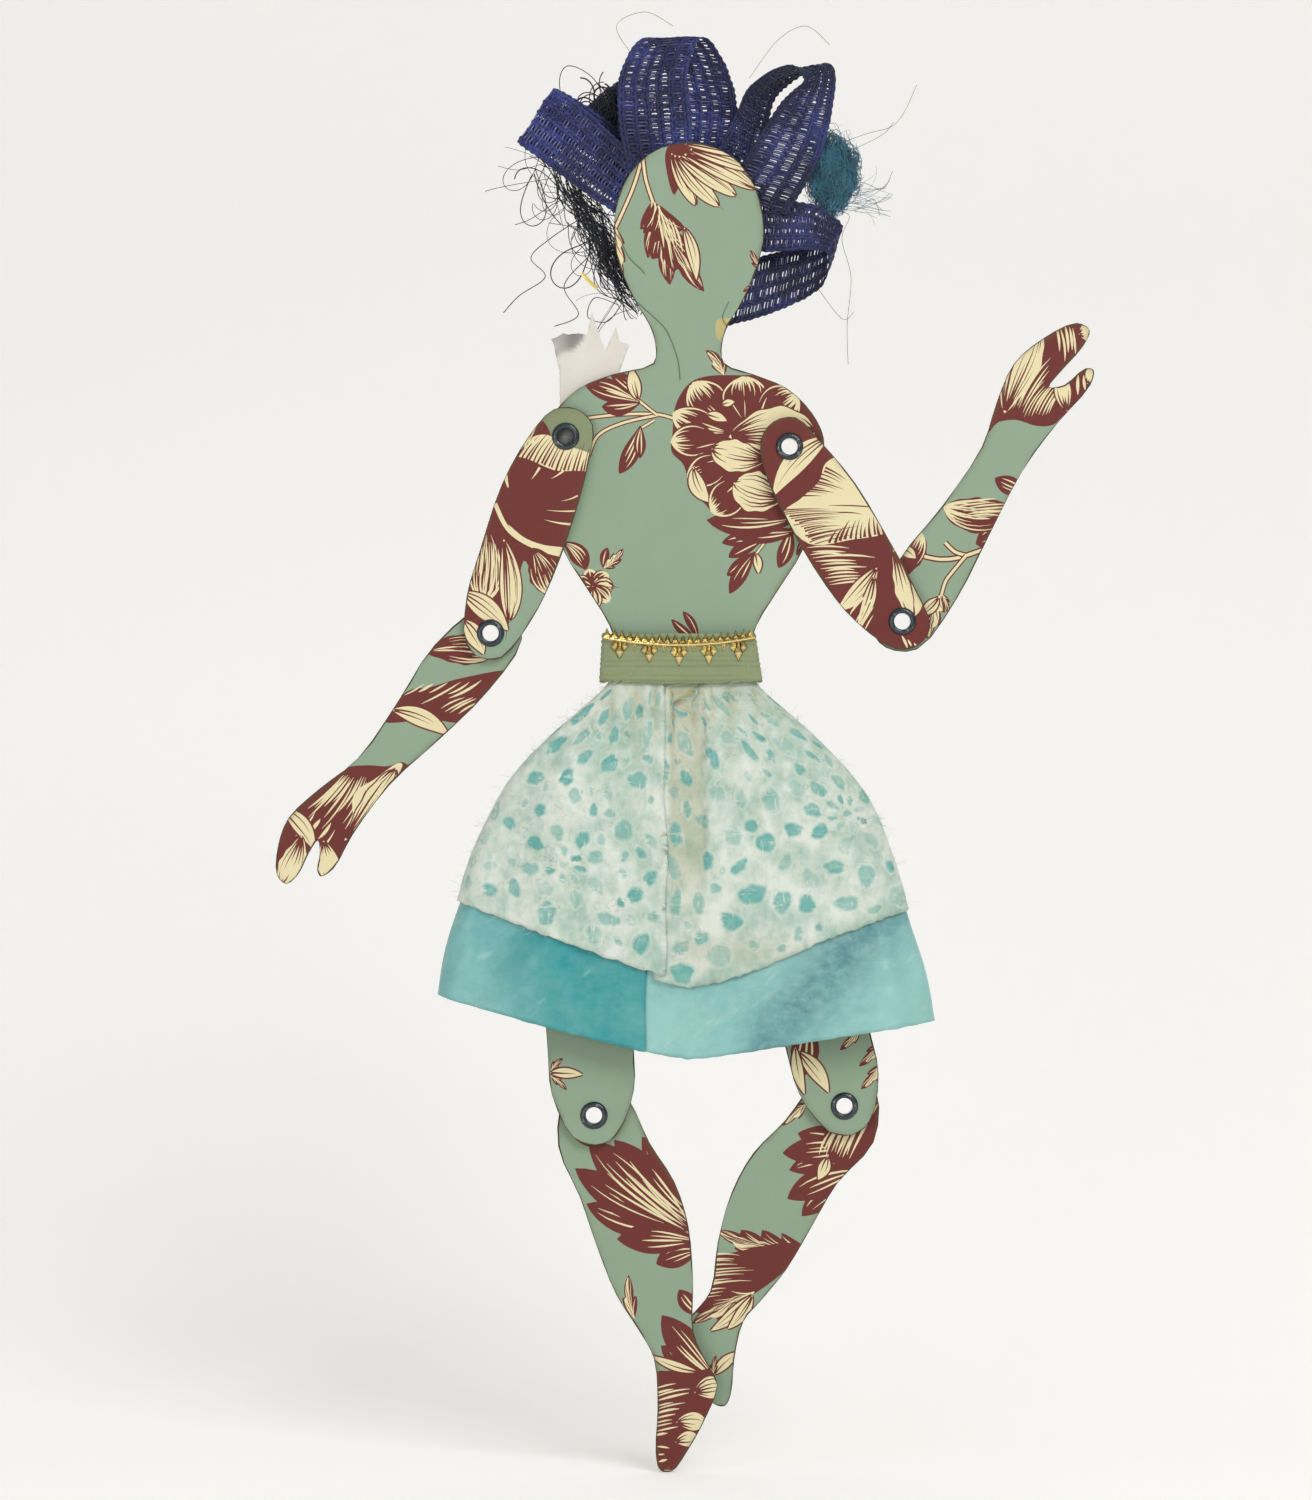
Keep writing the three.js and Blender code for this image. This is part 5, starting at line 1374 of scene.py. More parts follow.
def embossed(outline, centre, levels):
    # rings from an outline to its centre, each at a share, a height in front of the trim's back and a painted
    # shade
    points, hollow, count = [], [], len(outline)
    for share, height, dark in levels:
        for x, z in outline:
            across, down = centre[0] + (x - centre[0]) * share, centre[1] + (z - centre[1]) * share
            points.append((across, gold["back"] - height, down))
            hollow.append(dark)
    last = (len(levels) - 1) * count
    caps = [tuple(range(last, last + count)), tuple(reversed(range(count)))]
    return (points, ringFaces(len(levels), count) + caps), hollow


def makeTrim():
    parts, hollow = [], []

    def take(made, shade):
        parts.append(made)
        hollow.extend(shade)

    # painted shade: a facet is darkest at its foot and lightest at its crest, with a random shade of its own
    def facet(outline, height):  # a pressed facet: its corners rise to a crest near its middle
        centre = np.mean(outline, axis=0)
        shade = rng.uniform(0, 0.35)
        rise = [(0.9, 0.2, shade + 0.25), (0.55, height * 0.6, shade), (0.08, height, 0.0)]
        take(*embossed(outline, centre, [(1.0, 0.04, 1.0)] + rise))

    rng = random.Random(41)
    left, right, back = gold["left"], gold["right"], gold["back"]
    span = np.linspace(left, right, gold["steps"])
    path = np.stack([span, np.full_like(span, back - 0.06), railAt(span) + 0.2], -1)
    up, out = (np.tile(way, (gold["steps"], 1)) for way in ([0.0, 0.0, 1.0], [0.0, -1.0, 0.0]))
    strip = sweepStrip(path, up, out, 0.75, 0.06, 4)  # the flat foil that everything is pressed from
    # painted shade of 0.6 on the flat foil behind, none on the rail
    take(strip, [0.6] * len(strip[0]))
    path = np.stack([span, np.full_like(span, back - 0.3), railAt(span)], -1)
    rail = sweepStrip(path, up, out, gold["rail"], gold["rail"], 8)
    take(rail, [0.0] * len(rail[0]))
    pitch = (right - left) / gold["teeth"]
    for i in range(gold["teeth"]):
        x = left + (i + 0.5) * pitch
        base, tip = railAt(x) + 0.15, gold["tooth"] * rng.uniform(0.9, 1.1)
        lean = rng.uniform(-0.12, 0.12)
        facet([(x - 0.49 * pitch, base), (x - 0.36 * pitch, base + 0.36 * tip), (x + lean, base + tip),
               (x + 0.36 * pitch, base + 0.36 * tip), (x + 0.49 * pitch, base)], 0.75)
    step = (right - left) / (gold["pendants"] + 0.1)
    for i in range(gold["pendants"]):
        x = (left + right) / 2 + step * (i - (gold["pendants"] - 1) / 2)
        top = railAt(x) - 0.1
        wide, long = gold["pendantWidth"] / 2, gold["pendantLength"] * rng.uniform(0.94, 1.06)
        for leaf in dropLeaves:
            facet([(x + a * wide, top + b * long) for a, b in leaf], 0.7)
        for aside in (-0.5, 0.5):  # a small point between one drop and the next
            point = x + aside * step
            if left + 0.6 < point < right - 0.6:
                facet([(point - 0.5, top), (point, top - 1.5), (point + 0.5, top)], 0.45)
    mesh = meshFrom("gold_trim", *joined(parts), False, hollow=hollow)
    addPiece("foil_trim", mesh, [goldMaterial()], ["gold_trim"])
    print("gold trim", len(mesh.polygons), "faces")


makeTrim()


# Hair: knitted ribbon loops of ribs and rungs, thread, wool and loose wisps

knit = {"pitch": 2.45, "rib": 0.45, "apart": 0.37, "thick": 0.28, "stitch": 0.1, "steps": 240,
        "rung": 0.25, "rungThick": 0.17, "rungPitch": 0.74,
        "colour": linear(34, 36, 86), "light": linear(70, 84, 166), "dark": linear(14, 14, 38),
        # light lavender colours for thin strands on the rungs, a painted highlight
        "paintedGlint": [linear(64, 62, 112), linear(126, 124, 170), linear(176, 176, 206)], "paintedGlintShare": 0.6,
        "glint": (0.12, 0.23),
        "shut": {"top": 1.3, "left": 1.08, "back": 1.4, "right_upper": 1.32, "right_lower": 1.3},
        # loops drawn in a darker copy of the yarn: painted shade
        "deep": ("back", "right_upper", "right_lower")}
ribbonLoops = {  # each knot: the ribbon's middle line, then its half width as a direction
    "top": [(-4.4, 1.2, 86, 6.0, 0.0, 0.5), (-5.8, 0.9, 97, 7.1, 0.5, 0.2),
        (-6.2, 1.2, 108.4, 6.6, 1.0, 0.3), (-2.2, 3.6, 116.4, 6.0, 1.5, 0.2),
        (2.2, 6.2, 112, 6.4, 1.8, -0.6), (4.6, 7.0, 102, 6.5, 1.5, 0.0),
        (3.8, 5.0, 92, 5.6, 1.0, 0.4), (2.8, 3.0, 85, 5.0, 0.5, 0.4)],
    "left": [(-8.5, 0.9, 82, 2.2, 0.0, 4.4), (-18, 0.9, 89.8, 3.3, 0.3, 5.2),
        (-26.6, 1.2, 96.8, 3.8, 0.3, 5.3), (-30.9, 3.0, 100, 3.9, 0.0, 5.1),
        (-27, 5.0, 98.6, 3.6, -0.3, 5.0), (-18, 5.2, 93, 3.0, 0.0, 4.8),
        (-8.5, 3.0, 86, 2.2, 0.0, 4.2)],
    "back": [(-7, 6.4, 87, 4.2, 0.0, 3.4), (-13, 6.6, 95, 4.8, 0.0, 3.7),
        (-17.2, 7.2, 101.5, 4.8, 0.4, 3.4), (-18.4, 8.8, 104.0, 4.6, 0.4, 3.2),
        (-16.6, 10.4, 101, 4.6, 0.2, 3.4), (-12, 9.8, 94, 4.4, 0.0, 3.4),
        (-6.5, 8.2, 87, 4.0, 0.0, 3.2)],
    "right_upper": [(15.0, 0.9, 81, 6.4, 0.0, -2.0), (21.4, 1.0, 91.5, 6.3, 0.6, -1.6),
        (26.0, 1.2, 101.5, 4.7, 0.8, -1.0), (28.4, 2.6, 108.8, 2.5, 1.6, 1.3),
        (23.4, 4.8, 109.6, 1.2, 2.6, -1.0), (17.0, 6.2, 105.4, 2.2, 2.0, -1.3),
        (14.4, 6.4, 99, 2.9, 1.6, -1.4), (11.6, 5.0, 91, 3.8, 1.0, -1.6),
        (9.5, 3.4, 85, 3.8, 0.5, -1.6)],
    "right_lower": [(10.5, 0.9, 77.0, 0.0, 0.0, 5.2), (19, 0.9, 76.6, 0.2, 0.4, 5.0),
        (27.2, 1.4, 76.2, 0.8, 0.5, 4.2), (32.0, 3.0, 73.8, 1.4, 0.9, 2.8),
        (30.6, 5.2, 69.4, 1.3, 0.6, 4.6), (24, 5.8, 66.4, 0.9, 0.4, 5.6),
        (17, 4.6, 64.2, 1.0, 0.2, 6.2), (10.5, 3.0, 62.2, 1.4, 0.0, 6.2)],
}


def knitMaterial(name, dark, plain, light):
    material, tree, shader = newMaterial(name, Sheen_Weight=0.15, Sheen_Roughness=0.4, Specular_IOR_Level=0.4)
    place = objectPlace(tree)
    yarn = noise(tree, place, 1500.0, 3.0, 0.65)
    cloud = noise(tree, place, 90.0, 3.0)
    shine = scaled(tree, yarn, 0.5, scaled(tree, cloud, 0.7))
    glint = ramp(tree, shine, [(0.56, 0.0), (0.8, 0.8)])
    feed(shader, Base_Color=mixColour(tree, glint, mixColour(tree, yarn, dark, plain), light),
         Roughness=scaled(tree, yarn, 0.3, 0.4))
    addBump(shader, yarn, 0.6, 0.15)
    return material


def makeRibbons():
    tones = [knit["dark"], knit["colour"], knit["light"]]
    blue = knitMaterial("knit_ribbon", *tones)
    # a darker copy of the same yarn: painted shade on the loops listed under deep
    shadedYarn = knitMaterial("knit_ribbon_shaded", *([c * 0.62 for c in tone[:3]] + [1.0] for tone in tones))
    # light lavender yarn for thin strands on the rungs: a painted highlight
    paintedGlint = knitMaterial("knit_ribbon_painted_glint", *knit["paintedGlint"])
    total = 0
    for name, knots in ribbonLoops.items():
        rng = random.Random(name)
        course = smoothPath(knots, 400)
        walked = np.concatenate([[0], np.cumsum(np.linalg.norm(np.diff(course[:, :3], axis=0), axis=1))])
        even = np.linspace(0, walked[-1], knit["steps"])
        course = np.stack([np.interp(even, walked, course[:, k]) for k in range(6)], -1)
        middle, half = course[:, :3], course[:, 3:]
        way, aside = unit(np.gradient(middle, axis=0)), unit(half)
        face = np.cross(way, aside)
        ribs = round(2 * np.linalg.norm(half, axis=1).mean() / knit["pitch"]) + 1
        stitches = np.linspace(0, walked[-1] / knit["rungPitch"] * np.pi, len(middle))
        parts, slots, courses = [], [], []
        rung = knit["rung"] * knit["shut"][name]

        def take(strip, slot=0):
            parts.append(strip)
            slots.extend([slot] * len(strip[1]))

        for number, share in enumerate(np.linspace(-0.95, 0.95, ribs)):
            cup = 0.5 * np.cos(share * 2.4 + np.linspace(0, 3, len(middle)))
            path = middle + half * share + face * cup[:, None]
            path = path + 0.06 * np.stack([waves(np.linspace(0, 60, len(path)), number * 3 + k, 4, 0.4, 1.3)
                                           for k in range(3)], -1)
            courses.append(path)
            for ply in (-1, 1):  # two strands that cross to and fro, as a chain of stitches does
                weave = knit["stitch"] * np.sin(stitches + number)
                strand = path + aside * (ply * knit["apart"] + weave)[:, None] + face * (ply * weave)[:, None]
                take(sweepStrip(strand, aside, face, knit["rib"] * rng.uniform(0.9, 1.1), knit["thick"]))
        count = int(walked[-1] / knit["rungPitch"])
        steps = np.arange(len(middle))
        for a, b in zip(courses[:-1], courses[1:]):
            share = knit["paintedGlintShare"] * rng.uniform(0.3, 1.6)
            for i in range(count):
                at = (i + rng.uniform(0.42, 0.58)) / count * steps[-1]
                to = at + rng.uniform(-0.6, 0.6)
                start, end = (np.array([np.interp(spot, steps, path[:, k]) for k in range(3)])
                              for spot, path in ((at, a), (to, b)))
                lay = np.stack([way[int(at)]] * 3), np.stack([face[int(at)]] * 3)
                bowed = (start + end) / 2 + way[int(at)] * 0.12
                bar = np.stack([start, bowed, end])
                take(sweepStrip(bar, *lay, rung * rng.uniform(0.82, 1.28), knit["rungThick"]))
                # painted highlight: a light strand on the bar stands for its glint
                if rng.random() < share:  # a thin shiny strand that lies proud of the bar
                    take(sweepStrip(bar, *lay, *knit["glint"]), 1)
        mesh = meshFrom(name, *joined(parts))
        mesh.polygons.foreach_set("material_index", slots)
        yarn = shadedYarn if name in knit["deep"] else blue
        addPiece("knit_" + name, mesh, [yarn, paintedGlint], ["hair_ribbon_" + name])
        total += len(mesh.polygons)
    print("ribbons", len(ribbonLoops), "with", total, "faces")


makeRibbons()


def threadMaterial(name, dark, light, sheen):
    material, tree, shader = newMaterial(name, Sheen_Weight=sheen, Specular_IOR_Level=0.4)
    place = objectPlace(tree)
    cloud = noise(tree, place, 260.0, 3.0)
    ply = noise(tree, place, 2400.0, 2.0)
    tone = scaled(tree, cloud, 1.3, scaled(tree, ply, 0.8, -0.55), clamp=True)
    feed(shader, Base_Color=mixColour(tree, tone, dark, light), Roughness=scaled(tree, ply, 0.3, 0.4))
    addBump(shader, ply, 0.4, 0.1)
    return material


threadBlack = threadMaterial("black_thread", linear(12, 13, 19), linear(38, 40, 54), 0.1)
woolTeal = threadMaterial("teal_wool", linear(8, 44, 68), linear(72, 148, 172), 0.3)
tangle = {"strands": 190, "rings": 18, "curls": 16, "skein": 40, "step": 0.5, "front": 0.9, "back": 5.4,
          "wisp": 0.055,
          "spine": [(-27.5, 3.2, 91), (-24, 3.2, 83), (-18.6, 2.8, 75.5), (-15, 2.4, 67), (-9.4, 2.2, 58.6)],
          "courses": [  # longer threads whose way is seen in the photo
              [(-21, 3, 92), (-25.8, 4, 105), (-24.5, 4.5, 110.5), (-19, 4, 108), (-15, 4, 101)],
              [(-13, 2, 60), (-16, 2, 56.5), (-20, 2, 57.5), (-18.5, 2, 61.5), (-13.5, 2, 60)],
              [(-22, 3, 78), (-28, 3, 74), (-32, 3, 70), (-29, 3, 66), (-34.5, 3, 62), (-37.8, 3, 58.4)],
              [(-20, 2, 70), (-25, 2, 64), (-22, 2, 58), (-27, 2, 55.5)],
              [(-9, 5, 98), (-15, 6, 103), (-20, 6, 101), (-17, 6, 96), (-11, 5, 97)]]}
foilSliver = [(-21.3, 0.8, 66.6), (-20.4, 0.6, 65.6), (-19.2, 0.7, 64.4), (-17.9, 0.9, 63.4)]


def curled(rng, start, turn, length, curl, home=None, reach=4.0):
    # a thread of slowly changing curl, nearly flat, drawn back when it strays from home
    bend, lean = rng.uniform(-1, 1) * curl, rng.gauss(0, 0.1)
    path = [np.array(start, float)]
    for _ in range(int(length / tangle["step"])):
        bend = float(np.clip(bend + rng.gauss(0, 0.16) * curl, -1.5 * curl, 1.5 * curl))
        lean = float(np.clip(lean + rng.gauss(0, 0.05), -0.3, 0.3))
        turn += bend * tangle["step"]
        here = path[-1]
        if home is not None:
            back = np.asarray(home) - here
            if math.hypot(back[0], back[2]) > reach:
                want = math.atan2(back[2], back[0]) - turn
                turn += 0.2 * math.sin(want)
            lean = lean * 0.9 + 0.04 * (home[1] - here[1])
        path.append(here + tangle["step"] * np.array([math.cos(turn), lean, math.sin(turn)]))
    return np.array(path)


def makeThreads():
    rng = random.Random(53)
    spine = smoothPath(tangle["spine"], 200)
    way = unit(np.gradient(spine, axis=0))
    aside = np.cross(way, [0.0, 1.0, 0.0])
    paths, radii = [], []
    for number in range(tangle["strands"]):  # wavy strands that hang along the cheek
        first = rng.uniform(0, 0.7)
        span = np.linspace(first, min(1, first + rng.uniform(0.15, 0.5)), 44) * (len(spine) - 1)
        at, along = span.astype(int), span * 0.22
        spread = rng.gauss(0.3, 1.7) * (1.2 - first)
        spread = spread + rng.uniform(0.6, 2.2) * waves(along, number, 3, 0.12, 0.42)
        slip = rng.uniform(0.3, 1.4) * waves(along, number + 500, 3, 0.15, 0.5)
        deep = rng.uniform(-1.6, 1.2) + 0.4 * waves(along, number + 900, 2, 0.2, 0.6)
        path = np.stack([np.interp(span, np.arange(len(spine)), spine[:, k]) for k in range(3)], -1)
        path = path + aside[at] * spread[:, None] + way[at] * slip[:, None]
        path[:, 1] = np.clip(path[:, 1] + deep, tangle["front"], tangle["back"])
        paths.append(path)
        radii.append(rng.uniform(0.06, 0.13))
    for _ in range(tangle["rings"]):  # threads that turn round and round through it
        home = spine[int(min(rng.uniform(0, 1), rng.uniform(0, 1)) * (len(spine) - 1))]
        home = home + np.array([rng.gauss(-0.8, 1.6), rng.uniform(-1.4, 1.0), rng.gauss(0, 1.2)])
        turning = rng.uniform(0.05, 0.14)
        paths.append(curled(rng, home, rng.uniform(0, 6.3), rng.uniform(12, 30), turning, home, 3.6))
        radii.append(rng.uniform(0.06, 0.14))
    for _ in range(tangle["curls"]):  # curls that stand out from it to the left
        start = spine[rng.randrange(len(spine))]
        paths.append(curled(rng, start, rng.uniform(2.2, 4.4), rng.uniform(9, 22), rng.uniform(0.05, 0.24)))
        radii.append(rng.uniform(0.04, 0.08))
    for _ in range(tangle["skein"]):  # a skein between the left and the top ribbons
        home = np.array([rng.uniform(-20, -12), 6.0, rng.uniform(95, 102)])
        turn, length, turning = rng.uniform(0.3, 2.2), rng.uniform(8, 20), rng.uniform(0.06, 0.24)
        paths.append(curled(rng, home, turn, length, turning, home, 3.4))
        radii.append(rng.uniform(0.1, 0.2))
    for knots in tangle["courses"]:
        paths.append(smoothPath(knots, 60))
        radii.append(0.1)
    for path in paths:  # clear of the plane the left forearm swings in
        path[:, 1] = np.maximum(path[:, 1], tangle["front"])
    mesh = meshFrom("thread_wad", *threadMesh(paths, radii))
    addPiece("black_threads", mesh, [threadBlack], ["thread_wad"])
    along, up = np.tile([0.75, 0.0, 0.66], (4, 1)), np.tile([0.2, -0.95, 0.2], (4, 1))
    points, faces = sweepStrip(np.array(foilSliver), along, up, 0.4, 0.05, 4)
    mesh = meshFrom("foil_sliver", points, faces, False, hollow=np.zeros(len(points)))
    addPiece("foil_sliver", mesh, [bpy.data.materials["gold_foil"]])
    print("threads", len(paths), "and a sliver of foil")


wool = {"centre": (31.6, 5.4, 87.8), "half": (6.3, 3.3, 8.5), "strands": 900, "loose": 260, "wisps": 26,
        "core": 0.66, "rows": 18, "sides": 28}


def woolCore(centre, half):  # the felted middle of the tuft, lumpy all over
    rows, sides = wool["rows"], wool["sides"]
    turns = 2 * np.pi * np.arange(sides) / sides
    share, turn = np.meshgrid(np.linspace(0.04, 0.96, rows), turns, indexing="ij")
    rise, ring = np.cos(np.pi * share), np.sin(np.pi * share)
    way = np.stack([ring * np.cos(turn), ring * np.sin(turn), rise], -1)
    lump = wool["core"] + 0.1 * np.sin(3 * turn + 4 * share) + 0.08 * np.cos(2 * turn - 9 * share)
    points = (centre + way * half * lump[..., None]).reshape(-1, 3)
    faces = [(a, d, c, b) for a, b, c, d in ringFaces(rows, sides)]
    faces += [tuple(range(sides)), tuple(reversed(range((rows - 1) * sides, rows * sides)))]
    return points, faces


def makeWool():
    rng = random.Random(59)
    centre, half = np.array(wool["centre"]), np.array(wool["half"])
    paths, radii = [], []
    for number in range(wool["strands"] + wool["loose"]):
        loose = number >= wool["strands"]
        first = unit(np.array([rng.gauss(0, 1) for _ in range(3)]))
        second = unit(np.cross(first, [rng.gauss(0, 1) for _ in range(3)]))
        turns = np.linspace(0, rng.uniform(0.4, 1.5), 18)[:, None]
        ripple = 0.09 * np.sin(turns * rng.uniform(4, 10) + number)
        share = rng.uniform(0.62, 0.97) + ripple
        if loose:
            share = share + rng.uniform(0.1, 0.4) * (turns / turns[-1]) ** 2
        arc = first * np.cos(turns) + second * np.sin(turns)
        lump = 1 + 0.07 * np.sin(4 * arc[:, :1] + 2) + 0.05 * np.cos(7 * arc[:, 2:] + 3 * arc[:, :1])
        paths.append(centre + arc * half * share * lump)
        radii.append(rng.uniform(0.025, 0.05) if loose else rng.uniform(0.04, 0.1))
    for _ in range(wool["wisps"]):  # drawn out to the lower right
        out = np.array([rng.uniform(0.2, 0.8), rng.uniform(-0.6, 0.6), rng.uniform(-0.95, -0.4)])
        start = centre + half * out
        paths.append(curled(rng, start, rng.uniform(-0.5, 0.35), rng.uniform(4, 11), rng.uniform(0.05, 0.2)))
        radii.append(rng.uniform(0.025, 0.05))
    mesh = meshFrom("wool_tuft", *joined([woolCore(centre, half), threadMesh(paths, radii)]))
    addPiece("teal_wool", mesh, [woolTeal], ["wool_tuft"])
    print("wool", len(paths), "strands with", len(mesh.polygons), "faces")


def makeWisps():
    courses = [
        [(27, 4, 92), (38, 4, 96), (45, 4, 98.5), (49.3, 4, 106.5)],
        [(28, 4, 90), (36, 4, 93), (42, 4, 96), (44.4, 4, 98.6)],
        [(30, 4, 84), (37, 4, 86), (42, 4, 84.6), (44.2, 4, 88.4)],
        [(31, 4, 80), (35, 4, 79), (33.5, 4, 74), (35.4, 4, 66), (34.6, 4, 56), (34.8, 4, 47.6)],
        [(30, 4, 82), (36, 4, 80), (40, 4, 82.5), (41.5, 4, 79)],
        [(24, 3, 70), (31, 3, 60), (34, 3, 57), (36, 3, 58.6)],
        [(14, 5, 108), (20, 5, 116), (26, 5, 119), (31, 5, 115)],
        [(-10, 5, 112), (-14, 5, 119), (-8, 5, 122), (-2, 5, 119)],
        [(-13.6, -1.62, 74.6), (-11.5, -1.64, 70), (-8.8, -1.64, 67.2), (-8.0, -1.64, 66.2)],
        [(-10.4, -1.62, 61.0), (-6.5, -1.64, 57.5), (-3.4, -1.64, 54.2), (-1.2, -1.64, 48.6),
         (-0.6, -1.64, 44.0)],
        [(9.6, -1.62, 60.5), (8.3, -1.64, 57.2), (9.4, -1.64, 55.0)],
    ]
    paths = [smoothPath(knots, 50) for knots in courses]
    mesh = meshFrom("wisps", *threadMesh(paths, tangle["wisp"], 3))
    addPiece("loose_wisps", mesh, [threadBlack])
    print("wisps", len(paths))


makeThreads()
makeWool()
makeWisps()


# Cream scrap behind the left shoulder: thin paper with a rolled lip

scrapSheet = {"left": -27.6, "width": 16.3, "base": 36.4, "edge": 46.0, "crown": 53.6, "tips": (58.4, 55.2),
              "grid": 0.7, "cells": (24, 32), "tear": 0.08, "thick": 0.12, "colour": linear(236, 231, 219),
              "shade": linear(216, 210, 198), "lip": linear(126, 121, 122)}


def scrapMaterial():
    material, tree, shader = newMaterial("cream_paper", Specular_IOR_Level=0.35)
    cloud = noise(tree, objectPlace(tree), 120.0, 4.0)
    colour = mixColour(tree, cloud, scrapSheet["colour"], scrapSheet["shade"])
    # painted shade: grey on the rolled lip
    colour = mixColour(tree, attribute(tree, "lip"), colour, scrapSheet["lip"])
    grain = placeGroup(tree, paperGrain, Colour=colour, Mottle=0.1, Tooth=0.1)
    feed(shader, Base_Color=grain["Colour"], Roughness=grain["Roughness"])
    addBump(shader, grain["Height"], 0.3, 0.06)
    return material


def makeScrap():
    rng = random.Random(61)
    left, base, edge, crown = (scrapSheet[key] for key in ("left", "base", "edge", "crown"))
    rise, tips, grid = crown - edge, scrapSheet["tips"], scrapSheet["grid"]
    corners = [(0.11, base), (0.72, base), (0.88, edge), (1.0, edge + rise * 0.71),
               (0.87, edge + rise * 0.84), (0.83, tips[1]), (0.69, edge + rise * 0.55),
               (0.62, crown - rise * 0.05), (0.52, tips[0]), (0.46, crown), (0.15, crown + rise * 0.18),
               (0.0, crown - rise * 0.03), (0.1, edge)]
    corners = np.array([(left + a * scrapSheet["width"], z) for a, z in corners])
    loop = []
    for a, b in zip(corners, np.roll(corners, -1, axis=0)):
        steps = max(2, int(np.linalg.norm(b - a) / 0.6))
        for k in range(steps):
            torn = np.array([rng.uniform(-1, 1), rng.uniform(-1, 1)]) * scrapSheet["tear"]
            loop.append(a + (b - a) * k / steps + torn)
    loop = np.array(loop)
    columns, rows = (range(count) for count in scrapSheet["cells"])
    spots = [(left + grid * i, base + grid * j) for i in columns for j in rows]
    flat, triangles, middles = cutPattern([loop], spots)
    used, faces = usedOnly(triangles[coveredBy(middles, loop)])
    x, z = flat[used, 0], flat[used, 1]
    curl = smoothstep(50.5, 54.6, z) * (1 - smoothstep(-24.5, -19.5, x))
    y = 0.14 + 1.6 * curl ** 1.5 + 0.3 * smoothstep(46, 58, z) * np.sin(x * 0.9)
    fold = z - 48.4 - 0.66 * (x + 26.2) + 0.4 * np.sin(x * 1.3)  # above the slanted crease of the rolled lip
    # painted shade: the rolled lip above the crease is painted grey, darker towards its right end
    lip = smoothstep(-0.2, 1.1, fold) * (1 - smoothstep(-21.4, -20.2, x))
    lip = lip * (0.45 + 0.4 * smoothstep(-27, -23, x))
    z = z - 0.9 * curl ** 2
    mesh = meshFrom("cream_scrap", np.stack([x, y, z], -1), faces, lip=lip)
    piece = addPiece("torn_scrap", mesh, [scrapMaterial()], ["cream_scrap"])
    thicken(piece, scrapSheet["thick"])
    print("scrap", len(mesh.polygons), "faces")


makeScrap()


# Stage, lights and camera

stage = {"sweep": 0.5, "width": 2.4, "front": -1.6, "wall": 0.55, "top": 1.6, "steps": 16,
         "colour": linear(252, 250, 246), "glow": 0.09, "floorGlow": 0.11, "floorReach": 0.3}


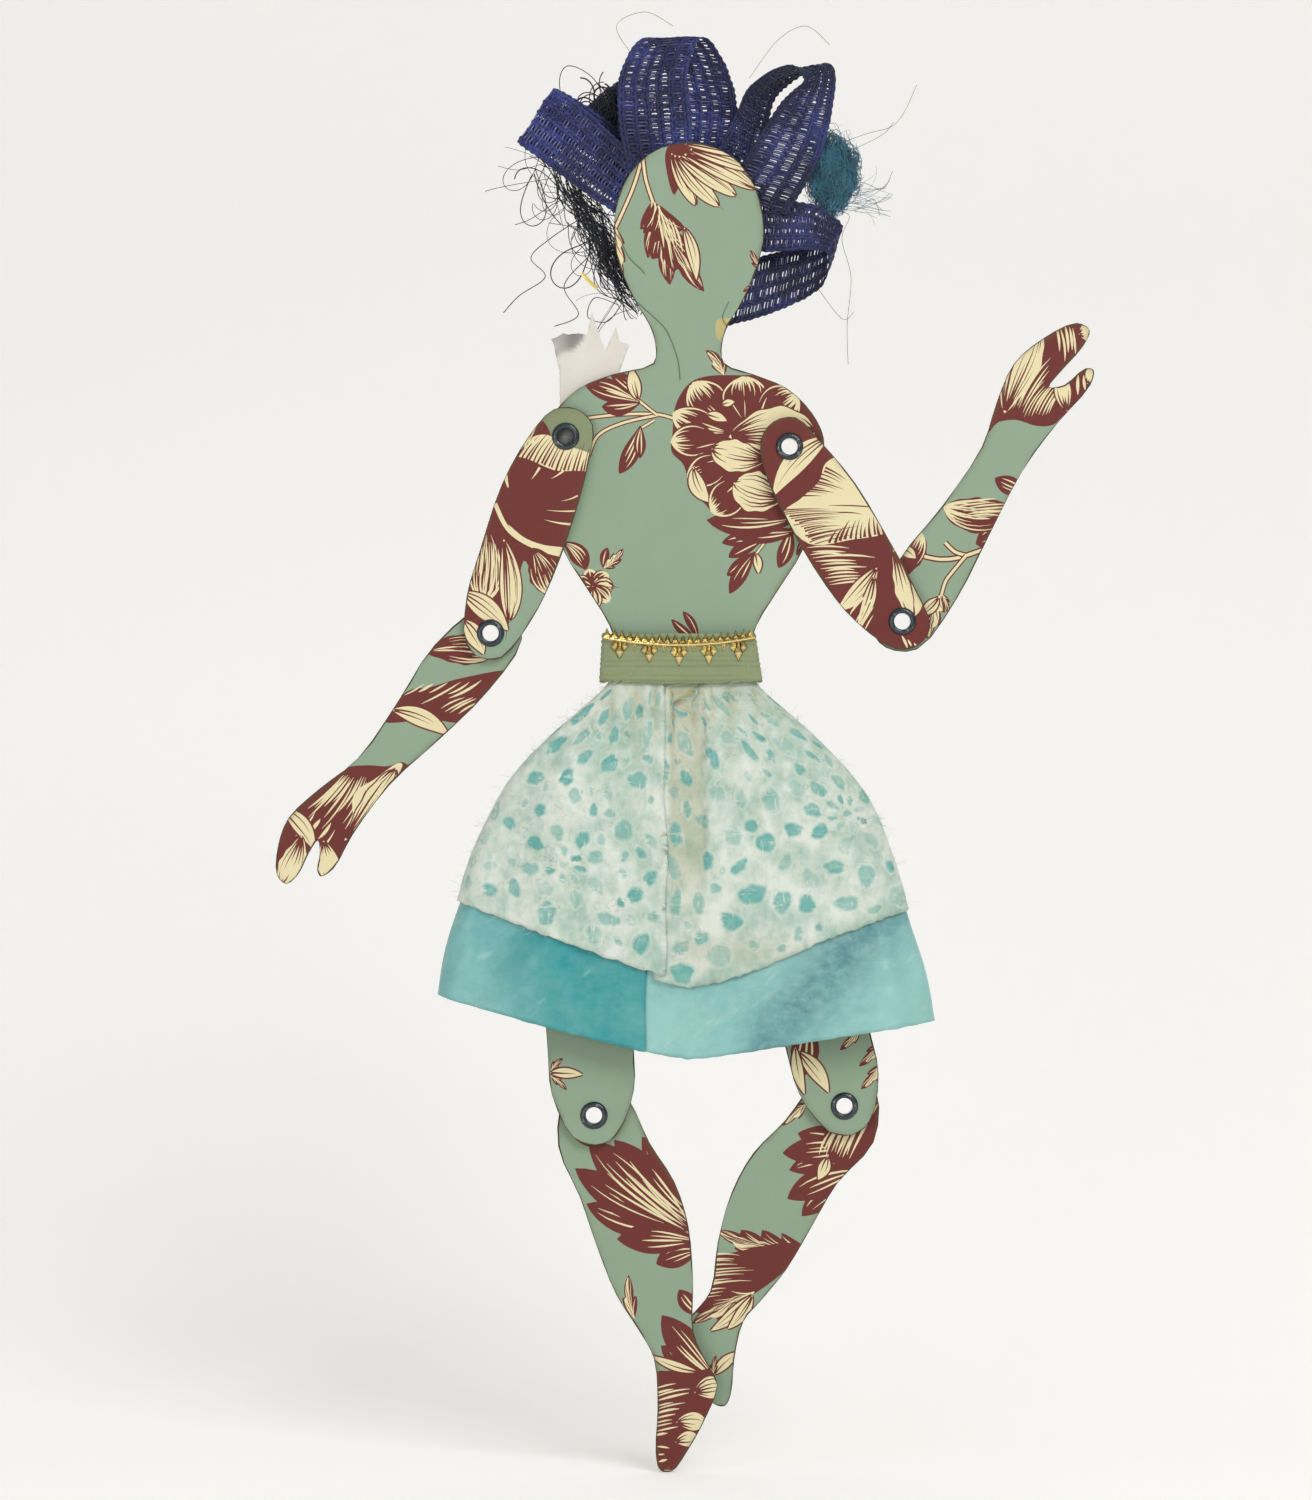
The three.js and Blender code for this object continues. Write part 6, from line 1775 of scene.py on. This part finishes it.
def makeStage():
    floor = cadLow.z
    profile = [(stage["front"], floor)]
    for i in range(stage["steps"] + 1):
        turn = math.pi / 2 * i / stage["steps"]
        y = stage["wall"] - stage["sweep"] + stage["sweep"] * math.sin(turn)
        profile.append((y, floor + stage["sweep"] * (1 - math.cos(turn))))
    profile.append((stage["wall"], stage["top"]))
    half = stage["width"] / 2
    points = np.array([(x, y, z) for y, z in profile for x in (-half, half)])
    faces = [(2 * i, 2 * i + 1, 2 * i + 3, 2 * i + 2) for i in range(len(profile) - 1)]
    backdrop = bpy.data.objects.new("backdrop", meshFrom("backdrop", points / mm, faces))
    bpy.context.scene.collection.objects.link(backdrop)
    material, tree, shader = newMaterial("backdrop", Base_Color=stage["colour"], Roughness=0.9,
                                         Specular_IOR_Level=0.1, Emission_Strength=1.0)
    place = addNode(tree, "ShaderNodeNewGeometry").outputs["Position"]
    height = addNode(tree, "ShaderNodeSeparateXYZ", {0: place}).outputs["Z"]
    low = maths(tree, "SUBTRACT", floor + stage["floorReach"], height)
    low = maths(tree, "DIVIDE", low, stage["floorReach"], clamp=True)
    glow = scaled(tree, low, stage["floorGlow"], stage["glow"])
    rays = addNode(tree, "ShaderNodeLightPath").outputs
    seen = maths(tree, "ADD", rays["Is Camera Ray"], rays["Is Glossy Ray"])
    seen = maths(tree, "ADD", seen, rays["Is Transmission Ray"], clamp=True)
    feed(shader, Emission_Color=scaled(tree, seen, glow))
    clear = addNode(tree, "ShaderNodeBsdfTransparent").outputs[0]
    behind = addNode(tree, "ShaderNodeNewGeometry").outputs["Backfacing"]
    sided = addNode(tree, "ShaderNodeMixShader", {0: behind, 1: shader.outputs[0], 2: clear})
    feed(tree.nodes["Material Output"], Surface=sided.outputs[0])
    backdrop.data.materials.append(material)


lamps = {  # each one's place, aim, size and power
    "key": ((0.5, -1.0, 0.75), (0, 0, 0), 0.7, 7.0),
    "fill": ((-0.6, -1.1, -0.11), (0, 0, -0.06), 0.9, 4.0),
}
sky = {"Color": (0.97, 0.985, 1.0, 1), "Strength": 0.47}


def addArea(name, place, aim, size, power):
    lamp = bpy.data.lights.new(name, "AREA")
    lamp.shape = "DISK"
    lamp.size = size
    lamp.energy = power
    holder = bpy.data.objects.new(name, lamp)
    holder.location = place
    holder.rotation_euler = (Vector(aim) - Vector(place)).to_track_quat("-Z", "Y").to_euler()
    bpy.context.scene.collection.objects.link(holder)


def makeLights():
    world = bpy.data.worlds.new("studio")
    bpy.context.scene.world = world
    world.use_nodes = True
    for socket, value in sky.items():
        world.node_tree.nodes["Background"].inputs[socket].default_value = value
    for name, settings in lamps.items():
        addArea(name, *settings)


photo = {"width": 1312, "height": 1500, "pixel": 0.21, "originX": 683, "originY": 590}  # pixels, mm per pixel
camera = {"distance": 1.25, "sensor": 36.0}


def makeCamera():
    x = (photo["width"] / 2 - photo["originX"]) * photo["pixel"] * mm
    z = (photo["originY"] - photo["height"] / 2) * photo["pixel"] * mm
    lens = bpy.data.cameras.new("camera")
    lens.sensor_width = camera["sensor"]
    lens.lens = camera["sensor"] * camera["distance"] / (photo["height"] * photo["pixel"] * mm)
    lens.clip_start, lens.clip_end = 0.01, 20
    holder = bpy.data.objects.new("camera", lens)
    holder.location = (x, -camera["distance"], z)
    holder.rotation_euler = (math.pi / 2, 0, 0)
    bpy.context.scene.collection.objects.link(holder)
    bpy.context.scene.camera = holder


makeStage()
makeLights()
makeCamera()
bpy.context.scene.view_settings.view_transform = "Standard"
print("stage with", len(lamps), "lamps and a camera")
